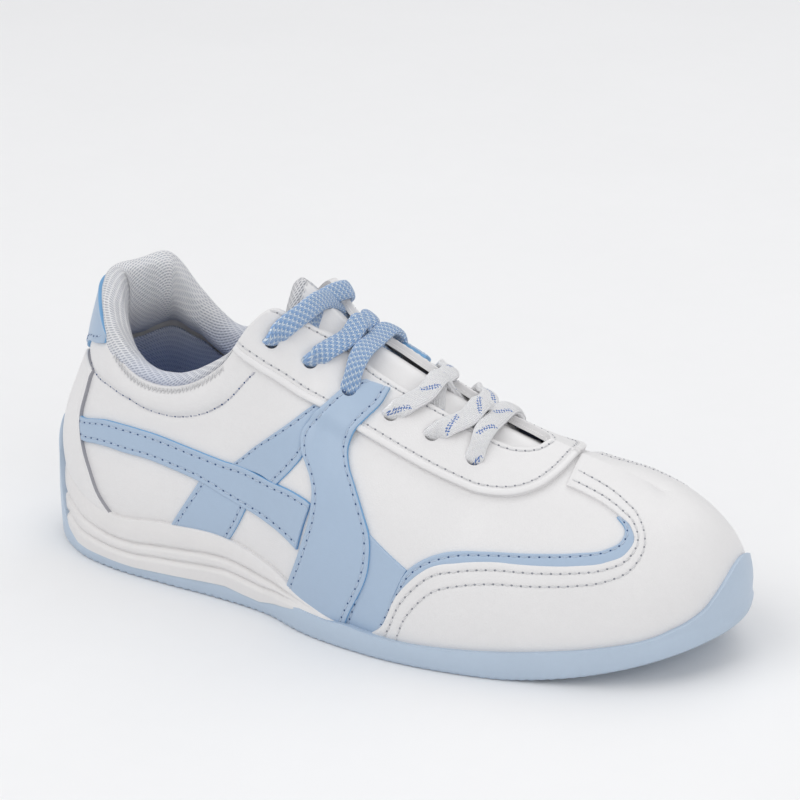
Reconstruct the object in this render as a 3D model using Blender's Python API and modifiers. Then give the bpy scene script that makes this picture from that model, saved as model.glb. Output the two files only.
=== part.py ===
"""Low-cut cheerleading trainer, right foot: moulded sole, stitched upper, tongue and laces.

Lengths are in millimetres and become metres when the meshes are made.  The upper follows one
smooth surface, upper_point(p, v): p is the way round the sole edge (0 at the heel, negative on
the outer side, positive on the inner side, +-TOE at the toe tip) and v climbs from the sole
edge (0) to the collar or instep ridge (1).  Every panel is a piece of that surface at its own
height, so the layers never touch.
"""
import bpy
import bmesh
import numpy as np
from math import pi
from mathutils import Vector

MM = 0.001

# ---- driving dimensions (mm) -----------------------------------------------------------
TOE = 293.0              # way round the sole edge from heel to toe tip
LAYER_PANEL = 1.6        # outer face of the sewn-on panels above the base upper
PANEL_THICK = 1.0
BASE_THICK = 1.3         # base upper, outer face at 0
STIFF_TOP = -1.8         # heel counter and toe puff
STIFF_THICK = 1.0
LINING_TOP = -3.4
LINING_THICK = 0.9
GAP = 0.4                # clearance between neighbours that lie side by side
LACE_RADIUS = 1.7
LACE_OVER = 4.8         # lace centre above the surface where it lies on the eyestay
LACE_UNDER = -3.6       # lace centre below the surface where it runs underneath
HOLE_RADIUS = 2.5
TONGUE_TOP = -7.3
TONGUE_SHELL = 1.2
TONGUE_FOAM = 3.0
TONGUE_LINER = 0.8
LIP_INSIDE = 2.3         # inner face of the sole's raised edge
LIP_THICK = 1.9
WALL_OUT = 3.2           # overhang of the sole side beyond the upper
MIDSOLE_END = 152.0      # station where the midsole wedge stops
INSOLE_THICK = 3.0
CENTRE_TRIM = (0.334, 0.049)   # heel lip is thinner than the toe lip, so the middle moves this much
BOARD_THICK = 1.1
INSOLE_HINGE = (120.6, 0.0, 20.8)   # joint axes, from the part's origin; both run along Y
TONGUE_HINGE = (62.0, 0.0, 51.0)

# Ribs of the upper: station, base x, outer base y z, inner base y z,
# outer top x y z, inner top x y z, share of collar shape
RIBS = np.array([
    [0, 1, 0, 34, 0, 34, 16, 1, 96, 16, 1, 96, 1],
    [16, 6, -15, 32, 14, 33, 21, -11, 92, 21, 12, 96.5, 1],
    [33, 20, -26.5, 25, 25, 27, 30, -20.5, 82, 31, 21.5, 96, 1],
    [48, 34, -31, 21, 29, 23, 40, -24.5, 73.5, 42, 25, 83, 1],
    [71, 57, -33.5, 23, 29.5, 24, 58, -27, 71.5, 57, 27, 72, 1],
    [96, 82, -35, 23.5, 28.5, 24, 77, -26, 82, 76, 26, 80, 0.95],
    [118, 103, -38.5, 18, 29.5, 20, 95, -20, 104, 96, 20, 101, 0.5],
    [134, 118, -44.5, 13, 32, 15, 112, 0, 98, 112, 0, 98, 0],
    [152, 135, -48, 9.5, 36, 12, 128, 0, 89.5, 128, 0, 89.5, 0],
    [172, 155, -49.5, 8, 40, 10, 150, 0, 79, 150, 0, 79, 0],
    [195, 178, -47.5, 9, 42.5, 10, 174, 1, 68.5, 174, 1, 68.5, 0],
    [218, 200, -42.5, 11, 42, 11.5, 196, 3, 61, 196, 3, 61, 0],
    [238, 219, -36, 13.5, 38.5, 14, 211, 5, 56.5, 211, 5, 56.5, 0],
    [257, 235, -26.5, 16, 31.5, 16, 219, 6, 53.5, 219, 6, 53.5, 0],
    [273, 246, -15, 18, 22, 18, 222, 6, 52, 222, 6, 52, 0],
    [286, 252, -3, 19, 13, 19, 223, 6, 51.5, 223, 6, 51.5, 0],
    [293, 253, 5, 19.5, 5, 19.5, 223, 6, 51.5, 223, 6, 51.5, 0],
], float)

# Panel outlines as (station, v), the same on both sides
THROAT = [(118, 1.0), (122, 0.95), (128, 0.89), (144, 0.86), (160, 0.87), (173, 0.885),
          (187, 0.89), (198, 0.90), (204, 0.94), (207, 1.0)]
EYESTAY_LOW = [(103, 1.0), (110, 0.85), (117, 0.722), (131.7, 0.615), (146.6, 0.632), (165, 0.662),
               (184, 0.669), (198, 0.709), (206, 0.776), (211, 0.86), (217, 1.0)]
EYELETS = [(117.6, 0.846), (128.3, 0.745), (143.7, 0.722), (159.3, 0.75), (172.7, 0.775),
           (187.1, 0.776)]
PAD_LOW = [(0, 0.58), (31, 0.67), (48, 0.766), (65, 0.826), (81, 0.875), (98, 0.86), (108, 0.80)]
TAB_LOW = [(0, 0.60), (8, 0.64), (14, 0.742), (24, 0.86), (31, 0.955)]
BAND_A_TOP = [(5, 0.36), (24, 0.368), (58, 0.70), (96, 0.51), (117, 0.314), (131.5, 0.284)]
BAND_A_LOW = [(5, 0.24), (28, 0.241), (43, 0.415), (84, 0.345), (103, 0.187), (128.6, 0.117)]
CAP_NOSE = 252           # station where the mudguard and its centre strip part
CAP_LOW = [(163, 0.03), (173, 0.172), (186, 0.30), (211, 0.39), (238, 0.45), (252, 0.575)]
CAP_HIGH = [(219, 0.85), (233, 0.78), (247, 0.69), (252, 0.575)]
TRIM_LOW = [(242.6, 0.686), (249.8, 0.58), (236.8, 0.468), (211, 0.409), (185.2, 0.322), (171.6, 0.19),
            (161.6, 0.03)]
TRIM_HIGH = [(240.5, 0.74), (245.5, 0.63), (237, 0.54), (210, 0.492), (184.0, 0.395), (169.0, 0.22),
             (159.6, 0.03)]


# ---- the surface of the upper ----------------------------------------------------------
def rib_table():
    """Ribs in order round the sole edge, with ghost ribs past the toe so it closes smoothly."""
    outer = np.c_[-RIBS[:, 0], RIBS[:, 1:4], RIBS[:, 6:9], RIBS[:, 12]][::-1]
    inner = np.c_[RIBS[:, 0], RIBS[:, 1], RIBS[:, 4:6], RIBS[:, 9:12], RIBS[:, 12]]
    before = inner[-3:-1].copy()
    before[:, 0] -= 2 * TOE
    after = outer[1:3].copy()
    after[:, 0] += 2 * TOE
    return np.vstack([before, outer, inner[1:], after])


TABLE = rib_table()


def smooth(table, t):
    """Value at t of the smooth curve through the table's rows (first column is t)."""
    knots, values = table[:, 0], table[:, 1:]
    i = np.clip(np.searchsorted(knots, t, side="right") - 1, 1, len(knots) - 3)
    step = np.diff(knots)
    slope = np.diff(values, axis=0) / step[:, None]
    tangent = np.zeros_like(values)
    tangent[1:-1] = slope[:-1] * step[1:, None] + slope[1:] * step[:-1, None]
    tangent[1:-1] /= (step[1:] + step[:-1])[:, None]
    h = step[i][:, None]
    q = ((t - knots[i]) / step[i])[:, None]
    a = (1 + 2 * q) * (1 - q) ** 2 * values[i] + q * (1 - q) ** 2 * h * tangent[i]
    return a + q * q * (3 - 2 * q) * values[i + 1] + q * q * (q - 1) * h * tangent[i + 1]


def upper_point(p, v):
    """Point of the upper's outer surface: a cubic curve from the sole edge to the top line."""
    p = np.atleast_1d(np.asarray(p, float))
    v = np.atleast_1d(np.asarray(v, float))[:, None]
    rows = smooth(TABLE, p)
    base, top, collar = rows[:, :3], rows[:, 3:6], rows[:, 6:7].clip(0, 1)
    across = (base - top) * [1, 1, 0]
    rise = (top - base)[:, 2:3]
    reach = np.linalg.norm(across, axis=1, keepdims=True)
    out = across / np.maximum(reach, 1e-6)
    up = np.array([0, 0, 1.0])
    toe = np.clip((np.abs(p)[:, None] - 190) / 50, 0, 1)
    fall = 0.30 * (1 - toe) + 0.02 * toe
    low = base + up * rise * (0.52 - 0.19 * collar) + out * (3 - toe - 1.5 * collar)
    high_foot = top + 0.60 * across - up * fall * reach
    high_collar = top - 0.42 * rise * up + out
    high = high_foot * (1 - collar) + high_collar * collar
    return ((1 - v) ** 3 * base + 3 * v * (1 - v) ** 2 * low
            + 3 * v * v * (1 - v) * high + v ** 3 * top)


def side_normal(p, v):
    """Outward direction of the surface, from small steps either way."""
    a = upper_point(p + 0.5, v) - upper_point(p - 0.5, v)
    b = upper_point(p, np.minimum(v + 0.004, 1.0)) - upper_point(p, np.maximum(v - 0.004, 0.0))
    n = np.cross(b, a)
    return n / np.maximum(np.linalg.norm(n, axis=1, keepdims=True), 1e-9)


def upper_normal(p, v):
    """Outward direction, made common to both sides along the ridge over the toes."""
    ridge = (v > 0.97) & (np.abs(p) > 130)
    n = side_normal(p, np.where(ridge, 0.97, v))
    held = np.minimum(np.abs(p), 262.0)
    both = side_normal(held, 0 * p + 0.97) + side_normal(-held, 0 * p + 0.97)
    both /= np.linalg.norm(both, axis=1, keepdims=True)
    share = np.clip((v - 0.90) / 0.10, 0, 1)[:, None] * (np.abs(p) > 130)[:, None]
    n = n * (1 - share) + both * share
    return n / np.linalg.norm(n, axis=1, keepdims=True)


def layer_point(p, v, height):
    """Point of the layer that lies `height` above the upper's surface."""
    p = np.atleast_1d(np.asarray(p, float))
    v = np.atleast_1d(np.asarray(v, float)) + 0 * p
    height = np.atleast_1d(np.asarray(height, float)) + 0 * p
    return upper_point(p, v) + height[:, None] * upper_normal(p, v)


def along(points, count):
    """`count` points spread evenly along the smooth line through a short list of points."""
    pts = np.asarray(points, float)
    scale = np.ones(pts.shape[1])
    if pts.shape[1] == 2:
        scale = np.array([1, 70.0])
    run = np.concatenate([[0], np.cumsum(np.linalg.norm(np.diff(pts * scale, axis=0), axis=1))])
    first = 2 * pts[0] - pts[1]
    last = 2 * pts[-1] - pts[-2]
    knots = np.concatenate([[-run[1]], run, [2 * run[-1] - run[-2]]])
    table = np.c_[knots, np.vstack([first, pts, last])]
    fine = smooth(table, np.linspace(0, run[-1], 400))
    gone = np.concatenate([[0], np.cumsum(np.linalg.norm(np.diff(fine * scale, axis=0), axis=1))])
    want = np.linspace(0, gone[-1], count)
    return np.stack([np.interp(want, gone, fine[:, k]) for k in range(pts.shape[1])], 1)


def height_at(points, station):
    """v of an outline at a station."""
    pts = np.asarray(points, float)
    return np.interp(station, pts[:, 0], pts[:, 1])


def bounds_centre():
    """Middle of the sole's plan, which is the part's origin."""
    p = np.linspace(-TOE, TOE, 400)
    ring = sole_edge(p, WALL_OUT, 0 * p)
    toe_top = layer_point(p, lip_v(p), LIP_INSIDE + LIP_THICK)
    both = np.vstack([ring, toe_top])
    return (both.min(axis=0) + both.max(axis=0)) / 2


# ---- sole profiles ---------------------------------------------------------------------
def sole_edge(p, out, z):
    """Plan point `out` beyond the sole edge, at height z."""
    base = upper_point(p, 0 * p)
    step = upper_point(p + 0.5, 0 * p) - upper_point(p - 0.5, 0 * p)
    n = np.stack([-step[:, 1], step[:, 0]], 1)
    n /= np.linalg.norm(n, axis=1, keepdims=True)
    point = base.copy()
    point[:, :2] += n * np.atleast_1d(out + 0 * p)[:, None]
    point[:, 2] = z
    return point


def feather_z(p):
    """Height of the line where the upper meets the sole."""
    return upper_point(p, 0 * p)[:, 2]


def ground_z(p):
    """Underside of the sole: flat, turned up a little at the heel and more at the toe."""
    x = upper_point(p, 0 * p)[:, 0]
    return 13.5 * (np.clip(x - 188, 0, None) / 66) ** 1.6 + 2.0 * (np.clip(14 - x, 0, None) / 14) ** 2


def lip_v(p):
    """How far the rubber climbs over the upper, as v."""
    a = np.abs(p)
    toe = np.interp(a, [180, 235, 264, 270, 276, 285, 293], [0.01, 0.015, 0.05, 0.075, 0.20, 0.28, 0.31])
    heel = np.interp(a, [0, 10, 15, 18, 21], [0.13, 0.12, 0.07, 0.02, 0.0])
    return np.where(a > 150, toe, heel)


def lip_z(p):
    """Top of the rubber wall where it stays below the upper."""
    a = np.abs(p)
    wall = np.interp(a, [17, 20, 24, 30, 60, 98, 112, 122, 134, 146, 160],
                     [30, 19, 8, 5.2, 5.4, 7.2, 6.6, 7.6, 9.2, 8.8, 9.5])
    return np.minimum(wall, feather_z(p) + 0.3)


def floor_z(p):
    """Top of the sole inside the upper, where the lasting board lies."""
    a = np.abs(p)
    share = np.clip((a - 52) / 30, 0, 1)
    return 20.4 * (1 - share) + (feather_z(p) - 0.8) * share


def seat_z(p):
    """Floor inside the rubber cup: low under the midsole wedge, high in front of it."""
    a = np.abs(p)
    share = np.clip((a - MIDSOLE_END - 1.0) / 3.0, 0, 1)
    low = 3.6 + 0 * p
    high = feather_z(p) - 0.9
    return low * (1 - share) + high * share


# ---- builders --------------------------------------------------------------------------
def material(name, colour, roughness, metallic=0.0):
    """Plain surface of one piece."""
    mat = bpy.data.materials.new(name)
    mat.use_nodes = True
    shader = mat.node_tree.nodes["Principled BSDF"]
    shader.inputs["Base Color"].default_value = (*colour, 1)
    shader.inputs["Roughness"].default_value = roughness
    shader.inputs["Metallic"].default_value = metallic
    mat.diffuse_color = (*colour, 1)
    return mat


WHITE = (0.80, 0.80, 0.78)
BLUE = (0.38, 0.52, 0.70)
RUBBER = (0.44, 0.57, 0.73)
MESH_WHITE = (0.70, 0.70, 0.70)


def finish(name, verts, faces, colour, roughness, collection):
    """Object from points in mm: welded, faces outward, smooth where the surface is smooth."""
    bm = bmesh.new()
    made = [bm.verts.new((np.asarray(v) - ORIGIN) * MM) for v in verts]
    for face in faces:
        corners = []
        for k in face:
            if made[k] not in corners:
                corners.append(made[k])
        bm.faces.new(corners)
    bmesh.ops.remove_doubles(bm, verts=bm.verts, dist=0.00002)
    bmesh.ops.dissolve_degenerate(bm, edges=bm.edges, dist=0.00001)
    bmesh.ops.recalc_face_normals(bm, faces=bm.faces)
    closed = all(len(edge.link_faces) == 2 for edge in bm.edges)
    if closed and bm.calc_volume(signed=True) < 0:
        bmesh.ops.reverse_faces(bm, faces=bm.faces)
    mesh = bpy.data.meshes.new(name)
    bm.to_mesh(mesh)
    bm.free()
    mesh.shade_smooth()
    mesh.set_sharp_from_angle(angle=0.7)
    mesh.materials.append(material(name + "_finish", colour, roughness))
    thing = bpy.data.objects.new(name, mesh)
    collection.objects.link(thing)
    return thing


def grid_faces(rows, cols, start=0):
    """Quads of a rows x cols sheet of points."""
    k = np.arange(rows * cols).reshape(rows, cols) + start
    return [(k[i, j], k[i, j + 1], k[i + 1, j + 1], k[i + 1, j])
            for i in range(rows - 1) for j in range(cols - 1)]


def shell(name, sheets, top, thick, colour, roughness=0.5, collection=None):
    """Panel from one or more sheets of (p, v, extra height) points, given its thickness."""
    verts, faces = [], []
    for p, v, extra in sheets:
        start = len(verts)
        pts = layer_point(p.ravel(), v.ravel(), top + extra.ravel())
        verts.extend(pts)
        faces.extend(grid_faces(*p.shape, start))
    thing = finish(name, verts, faces, colour, roughness, collection or PARTS)
    outward(thing)
    mod = thing.modifiers.new("Thickness", "SOLIDIFY")
    mod.thickness = thick * MM
    mod.offset = -1
    mod.use_even_offset = False
    mod.use_quality_normals = True
    return thing


def outward(thing):
    """Turn an open sheet so that its faces look away from the foot."""
    bm = bmesh.new()
    bm.from_mesh(thing.data)
    middle = Vector(((FOOT_AXIS - ORIGIN) * MM).tolist())
    score = 0.0
    for face in bm.faces:
        away = face.calc_center_median() - middle
        away.x *= 0.15
        score += face.calc_area() * away.normalized().dot(face.normal)
    if score < 0:
        bmesh.ops.reverse_faces(bm, faces=bm.faces)
    bm.to_mesh(thing.data)
    bm.free()


def ruled(low, high, rows, cols, side, extra=None, soft=True):
    """Sheet between two outlines given as (station, v) lists; side -1 outer, +1 inner."""
    if soft:
        a, b = along(low, rows), along(high, rows)
    else:
        t = np.linspace(0, len(low) - 1, rows)
        a, b = [np.stack([np.interp(t, np.arange(len(low)), np.array(line)[:, k]) for k in (0, 1)], 1)
                for line in (low, high)]
    w = np.linspace(0, 1, cols)[None, :]
    p = a[:, :1] * (1 - w) + b[:, :1] * w
    v = a[:, 1:] * (1 - w) + b[:, 1:] * w
    rise = np.zeros_like(p) if extra is None else extra(p, v)
    return side * p, v, rise


def mirrored(low, high, rows, cols, extra=None):
    """The same sheet on the outer and on the inner side."""
    return [ruled(low, high, rows, cols, -1, extra), ruled(low, high, rows, cols, 1, extra)]


def stack(name, stations, rings, colour, roughness):
    """Closed body from rings of points (mm) round the sole, closed by rungs at both ends.

    Each ring runs toe, outer side, heel, inner side; `stations` counts heel to toe."""
    count = len(rings[0])
    half = len(stations) - 1
    verts = [v for ring in rings for v in ring]
    faces = []
    for r in range(len(rings) - 1):
        for k in range(count):
            n = (k + 1) % count
            faces.append((r * count + k, r * count + n, (r + 1) * count + n, (r + 1) * count + k))
    for r in (0, len(rings) - 1):
        first = r * count
        for k in range(half):
            a, b = k, k + 1
            c, d = (count - k - 1) % count, (count - k) % count
            loop = [first + a, first + b, first + c, first + d]
            loop = list(dict.fromkeys(loop))
            if len(loop) > 2:
                faces.append(tuple(loop))
    return finish(name, verts, faces, colour, roughness, PARTS)


def ring_p(stations):
    """Stations all the way round: toe tip, outer side, heel, inner side."""
    s = np.asarray(stations, float)
    return np.concatenate([-s[::-1], s[1:-1]])


def tube(name, points, radius, colour, roughness):
    """Round cord along a list of points (mm)."""
    curve = bpy.data.curves.new(name, "CURVE")
    curve.dimensions = "3D"
    curve.bevel_depth = radius * MM
    curve.bevel_resolution = 2
    curve.use_fill_caps = True
    spline = curve.splines.new("POLY")
    spline.points.add(len(points) - 1)
    for slot, point in zip(spline.points, points):
        slot.co = (*((np.asarray(point) - ORIGIN) * MM), 1)
    curve.materials.append(material(name + "_finish", colour, roughness))
    thing = bpy.data.objects.new(name, curve)
    PARTS.objects.link(thing)
    return thing


def hinge(name, pivot, things):
    """Empty on a joint's axis that carries the pieces turning about it."""
    empty = bpy.data.objects.new(name, None)
    empty.empty_display_size = 10 * MM
    empty.location = Vector(pivot) * MM
    PARTS.objects.link(empty)
    bpy.context.view_layer.update()
    for thing in things:
        thing.parent = empty
        thing.matrix_parent_inverse = empty.matrix_world.inverted()


def cut(thing, cutters):
    """Take the cutters out of a panel, after its thickness."""
    for k, cutter in enumerate(cutters):
        mod = thing.modifiers.new("Hole %d" % (k + 1), "BOOLEAN")
        mod.operation = "DIFFERENCE"
        mod.object = cutter
        mod.solver = "EXACT"
    return thing


# ---- scene -----------------------------------------------------------------------------
for old in list(bpy.data.objects):
    bpy.data.objects.remove(old, do_unlink=True)
PARTS = bpy.data.collections.new("cheer_shoe")
CUTTERS = bpy.data.collections.new("cutters")
bpy.context.scene.collection.children.link(PARTS)
bpy.context.scene.collection.children.link(CUTTERS)
FOOT_AXIS = np.array([130.0, -2.0, 30.0])
ORIGIN = np.array([0.0, 0.0, 0.0])
centre = bounds_centre()
ORIGIN = np.array([centre[0] + CENTRE_TRIM[0], centre[1] + CENTRE_TRIM[1], 0.0])


# ---- sole ------------------------------------------------------------------------------
SOLE_STATIONS = np.concatenate([
    np.linspace(0, 24, 9), np.linspace(31, MIDSOLE_END + 1, 12), [MIDSOLE_END + 4.5],
    np.linspace(165, 261, 9), np.linspace(268, TOE, 6)])
around = ring_p(SOLE_STATIONS)


def outsole():
    """Rubber cup: tread, side wall, and the lip that wraps the heel and the toe."""
    p = around
    a = np.abs(p)
    z0, seat, v_lip = ground_z(p), seat_z(p), lip_v(p)
    climbs = v_lip > 0.005
    wall = np.where(climbs, 0, lip_z(p))
    outer = sole_edge(p, WALL_OUT, wall)
    inner = sole_edge(p, WALL_OUT - LIP_THICK, wall)
    outer_lip = layer_point(p, v_lip, LIP_INSIDE + LIP_THICK)
    inner_lip = layer_point(p, v_lip, LIP_INSIDE)
    outer_half = layer_point(p, v_lip / 2, LIP_INSIDE + LIP_THICK)
    inner_half = layer_point(p, v_lip / 2, LIP_INSIDE)
    pick = climbs[:, None]
    out_foot = np.where(climbs, LIP_INSIDE + LIP_THICK, WALL_OUT)
    in_foot = np.where(climbs, LIP_INSIDE, WALL_OUT - LIP_THICK)
    foot_z = np.minimum(seat + 1.0, np.where(climbs, feather_z(p), wall) - 0.3)
    low_in = sole_edge(p, in_foot, np.minimum(seat, foot_z))
    mid_wall = sole_edge(p, out_foot, (z0 + np.where(climbs, feather_z(p), wall)) / 2)
    rings = [
        sole_edge(p, -5.0, z0),
        sole_edge(p, out_foot - 1.6, z0),
        sole_edge(p, out_foot - 0.2, z0 + 1.4),
        mid_wall,
        np.where(pick, outer_half, outer * 0.5 + mid_wall * 0.5),
        np.where(pick, outer_lip, outer),
        np.where(pick, inner_lip, inner),
        np.where(pick, inner_half, inner * 0.5 + low_in * 0.5),
        low_in,
        sole_edge(p, -5.0, np.minimum(seat, foot_z)),
    ]
    return stack("outsole", SOLE_STATIONS, rings, RUBBER, 0.45)


def midsole():
    """Foam wedge under the heel and arch; its side shows between the rubber and the upper."""
    s = SOLE_STATIONS[SOLE_STATIONS <= MIDSOLE_END - 0.5]
    p = np.concatenate([-s[::-1], s[1:]])
    climbs = lip_v(p) > 0.005
    top = feather_z(p) - 0.5
    wall = np.minimum(np.where(climbs, 99, lip_z(p)) + 0.6, top - 0.2)
    inside = np.where(climbs, LIP_INSIDE - 1.7, WALL_OUT - LIP_THICK) - 0.6
    shown = np.where(climbs, LIP_INSIDE - 2.0, WALL_OUT - 0.2)
    upper_out = np.where(climbs, LIP_INSIDE - 2.0, WALL_OUT - 1.0)
    under = np.minimum(seat_z(p) + 0.6, wall - 0.3)
    rings = [
        sole_edge(p, -5.0, under),
        sole_edge(p, inside, under),
        sole_edge(p, inside, wall),
        sole_edge(p, shown, wall + 0.1),
        sole_edge(p, (shown + upper_out) / 2 + 0.6, (wall + top) / 2),
        sole_edge(p, upper_out, top),
        sole_edge(p, -1.5, top),
        sole_edge(p, -1.6, floor_z(p)),
        sole_edge(p, -5.0, floor_z(p)),
    ]
    return open_stack("midsole", rings, WHITE, 0.55)


def open_stack(name, rings, colour, roughness):
    """Closed body from rings that run outer front, heel, inner front, with a flat front end."""
    count = len(rings[0])
    verts = [v for ring in rings for v in ring]
    faces = []
    for r in range(len(rings) - 1):
        for k in range(count - 1):
            faces.append((r * count + k, r * count + k + 1, (r + 1) * count + k + 1, (r + 1) * count + k))
    for r in (0, len(rings) - 1):
        for k in range(count // 2):
            loop = [r * count + k, r * count + k + 1, r * count + count - 2 - k, r * count + count - 1 - k]
            loop = list(dict.fromkeys(loop))
            if len(loop) > 2:
                faces.append(tuple(loop))
    front = [r * count for r in range(len(rings))] + [r * count + count - 1 for r in range(len(rings))][::-1]
    faces.append(tuple(front))
    return finish(name, verts, faces, colour, roughness, PARTS)


def slab(name, out, low, high, colour, roughness, stations):
    """Flat insole-like body following the sole edge line."""
    p = ring_p(stations)
    z = floor_z(p)
    inside = np.minimum(out - 1.5, -5.0)
    rings = [sole_edge(p, inside, z + low), sole_edge(p, out, z + low),
             sole_edge(p, out, z + high), sole_edge(p, inside, z + high)]
    return stack(name, stations, rings, colour, roughness)


outsole()
midsole()
slab("lasting_board", -2.2, 0.5, 0.5 + BOARD_THICK, (0.75, 0.73, 0.68), 0.8, SOLE_STATIONS)
insole = slab("insole", -5.4, 2.1, 2.1 + INSOLE_THICK, (0.22, 0.33, 0.55), 0.85, SOLE_STATIONS)
hinge("insole_axis", INSOLE_HINGE, [insole])

# ---- eyelet cutters --------------------------------------------------------------------
holes = {}
for side, tag in ((-1, "outer"), (1, "inner")):
    for row, (station, v) in enumerate(EYELETS, start=1):
        at = layer_point(side * station, v, 0)[0]
        n = upper_normal(np.array([side * station]), np.array([v]))[0]
        bpy.ops.mesh.primitive_cylinder_add(vertices=10, radius=HOLE_RADIUS * MM, depth=12 * MM,
                                            location=(at - ORIGIN) * MM)
        cutter = bpy.context.object
        cutter.name = "hole_%s_%d" % (tag, row)
        cutter.rotation_euler = Vector(n.tolist()).to_track_quat("Z", "Y").to_euler()
        cutter.hide_render = True
        cutter.display_type = "WIRE"
        for owner in list(cutter.users_collection):
            owner.objects.unlink(cutter)
        CUTTERS.objects.link(cutter)
        holes[(side, row)] = cutter

# ---- base upper ------------------------------------------------------------------------
QUARTER_FRONT = 141.5


def quarter(side):
    """Outer or inner back half of the base upper, heel seam to the vamp seam."""
    stations = np.concatenate([[0.4], np.linspace(6, 96, 12), np.linspace(103, QUARTER_FRONT, 7)])
    top = np.where(stations <= 118, 1.0, height_at(THROAT, stations))
    low = np.c_[stations, 0 * stations + 0.004]
    high = np.c_[stations, top]
    w = np.linspace(0, 1, 9)[None, :]
    p = low[:, :1] * (1 - w) + high[:, :1] * w
    v = low[:, 1:] * (1 - w) + high[:, 1:] * w
    name = "quarter_outer" if side < 0 else "quarter_inner"
    thing = shell(name, [(side * p, v, 0 * p)], 0.0, BASE_THICK, WHITE)
    return cut(thing, [holes[(side, row)] for row in (1, 2)])


def vamp():
    """Front half of the base upper: two wings beside the throat and the toe box."""
    stations = np.concatenate([np.linspace(QUARTER_FRONT + 0.5, 200, 8), [204, 207],
                               np.linspace(214, TOE, 11)])
    top = np.where(stations < 207, height_at(THROAT, stations), 1.0)
    w = np.linspace(0, 1, 9)[None, :]
    p = stations[:, None] + 0 * w
    v = 0.004 * (1 - w) + top[:, None] * w
    thing = shell("vamp", [(-p, v, 0 * p), (p, v, 0 * p)], 0.0, BASE_THICK, WHITE)
    return cut(thing, [holes[(side, row)] for side in (-1, 1) for row in (3, 4, 5, 6)])


quarter(-1)
quarter(1)
vamp()

# ---- stiffeners and linings ------------------------------------------------------------
LOW_V = 0.045


def heel_counter():
    """Moulded cup between base upper and lining."""
    p = np.linspace(-70, 70, 23)[:, None]
    top = 0.54 - 0.30 * (np.abs(p) / 70) ** 3
    w = np.linspace(0, 1, 6)[None, :]
    v = LOW_V * (1 - w) + top * w
    p = p + 0 * w
    shell("heel_counter", [(p, v, 0 * p)], STIFF_TOP, STIFF_THICK, (0.65, 0.62, 0.55), 0.7)


def toe_puff():
    """Stiff shell inside the toe."""
    p = np.linspace(236, TOE, 11)[:, None]
    w = np.linspace(0, 1, 5)[None, :]
    top = 0.60 + 0 * p
    v = 0.06 * (1 - w) + top * w
    p = p + 0 * w
    shell("toe_puff", [(-p, v, 0 * p), (p, v, 0 * p)], STIFF_TOP, STIFF_THICK, (0.65, 0.62, 0.55), 0.7)


def quarter_lining():
    """Textile lining of the heel and sides, below the collar pad."""
    p = np.linspace(-134, 134, 33)[:, None]
    a = np.abs(p)
    top = np.where(a < 108, height_at(PAD_LOW, a) - 0.035, 0.0)
    top = np.where(a >= 108, np.interp(a, [108, 134], [height_at(PAD_LOW, 108) - 0.16, 0.56]), top)
    top = np.minimum(top, np.interp(a, [96, 108], [0.80, 0.62]))
    w = np.linspace(0, 1, 5)[None, :]
    v = LOW_V * (1 - w) + top * w
    p = p + 0 * w
    shell("quarter_lining", [(p, v, 0 * p)], LINING_TOP, LINING_THICK, (0.30, 0.42, 0.66), 0.9)


def vamp_lining():
    """Textile lining of the forefoot."""
    stations = np.concatenate([np.linspace(135, 209, 8), np.linspace(214, TOE, 9)])
    top = np.interp(stations, [135, 165, 203, 209, 213], [0.56, 0.58, 0.62, 0.78, 1.0])
    w = np.linspace(0, 1, 7)[None, :]
    p = stations[:, None] + 0 * w
    v = 0.07 * (1 - w) + top[:, None] * w
    shell("vamp_lining", [(-p, v, 0 * p), (p, v, 0 * p)], LINING_TOP, LINING_THICK, (0.72, 0.72, 0.72), 0.9)


heel_counter()
toe_puff()
quarter_lining()
vamp_lining()


# ---- sewn-on panels --------------------------------------------------------------------
def inset(points, dp=0.0, dv=0.0):
    """Outline moved a little in station and v."""
    return [(s + dp, v + dv) for s, v in points]


def eyestay():
    """White U that carries the twelve lace holes."""
    def raised(p, v):
        return 0.2 + 0.5 * np.clip((126 - p) / 6, 0, 1)

    sheets = mirrored(EYESTAY_LOW, THROAT, 18, 4, raised)
    thing = shell("eyestay", sheets, LAYER_PANEL, PANEL_THICK, WHITE)
    return cut(thing, [holes[key] for key in sorted(holes)])


def heel_tab():
    """Blue patch over the top of the heel."""
    p = np.linspace(-31, 31, 19)[:, None]
    low = height_at(TAB_LOW, np.abs(p))
    w = np.linspace(0, 1, 6)[None, :]
    v = low * (1 - w) + 0.998 * w
    p = p + 0 * w
    shell("heel_tab", [(p, v, 0 * p)], LAYER_PANEL, PANEL_THICK, BLUE)


def backstay():
    """Narrow white strip down the heel seam."""
    w = np.linspace(-4, 4, 4)[None, :]
    v = np.linspace(0.17, 0.585, 9)[:, None] + 0 * w
    p = w + 0 * v
    shell("backstay", [(p, v, 0 * p)], LAYER_PANEL, PANEL_THICK, WHITE)


def over_eyestay(p, v):
    """Extra height where the cross band climbs onto the eyestay."""
    edge = height_at(EYESTAY_LOW, p)
    return 1.8 * np.clip((v - edge + 0.085) / 0.04, 0, 1)


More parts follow.
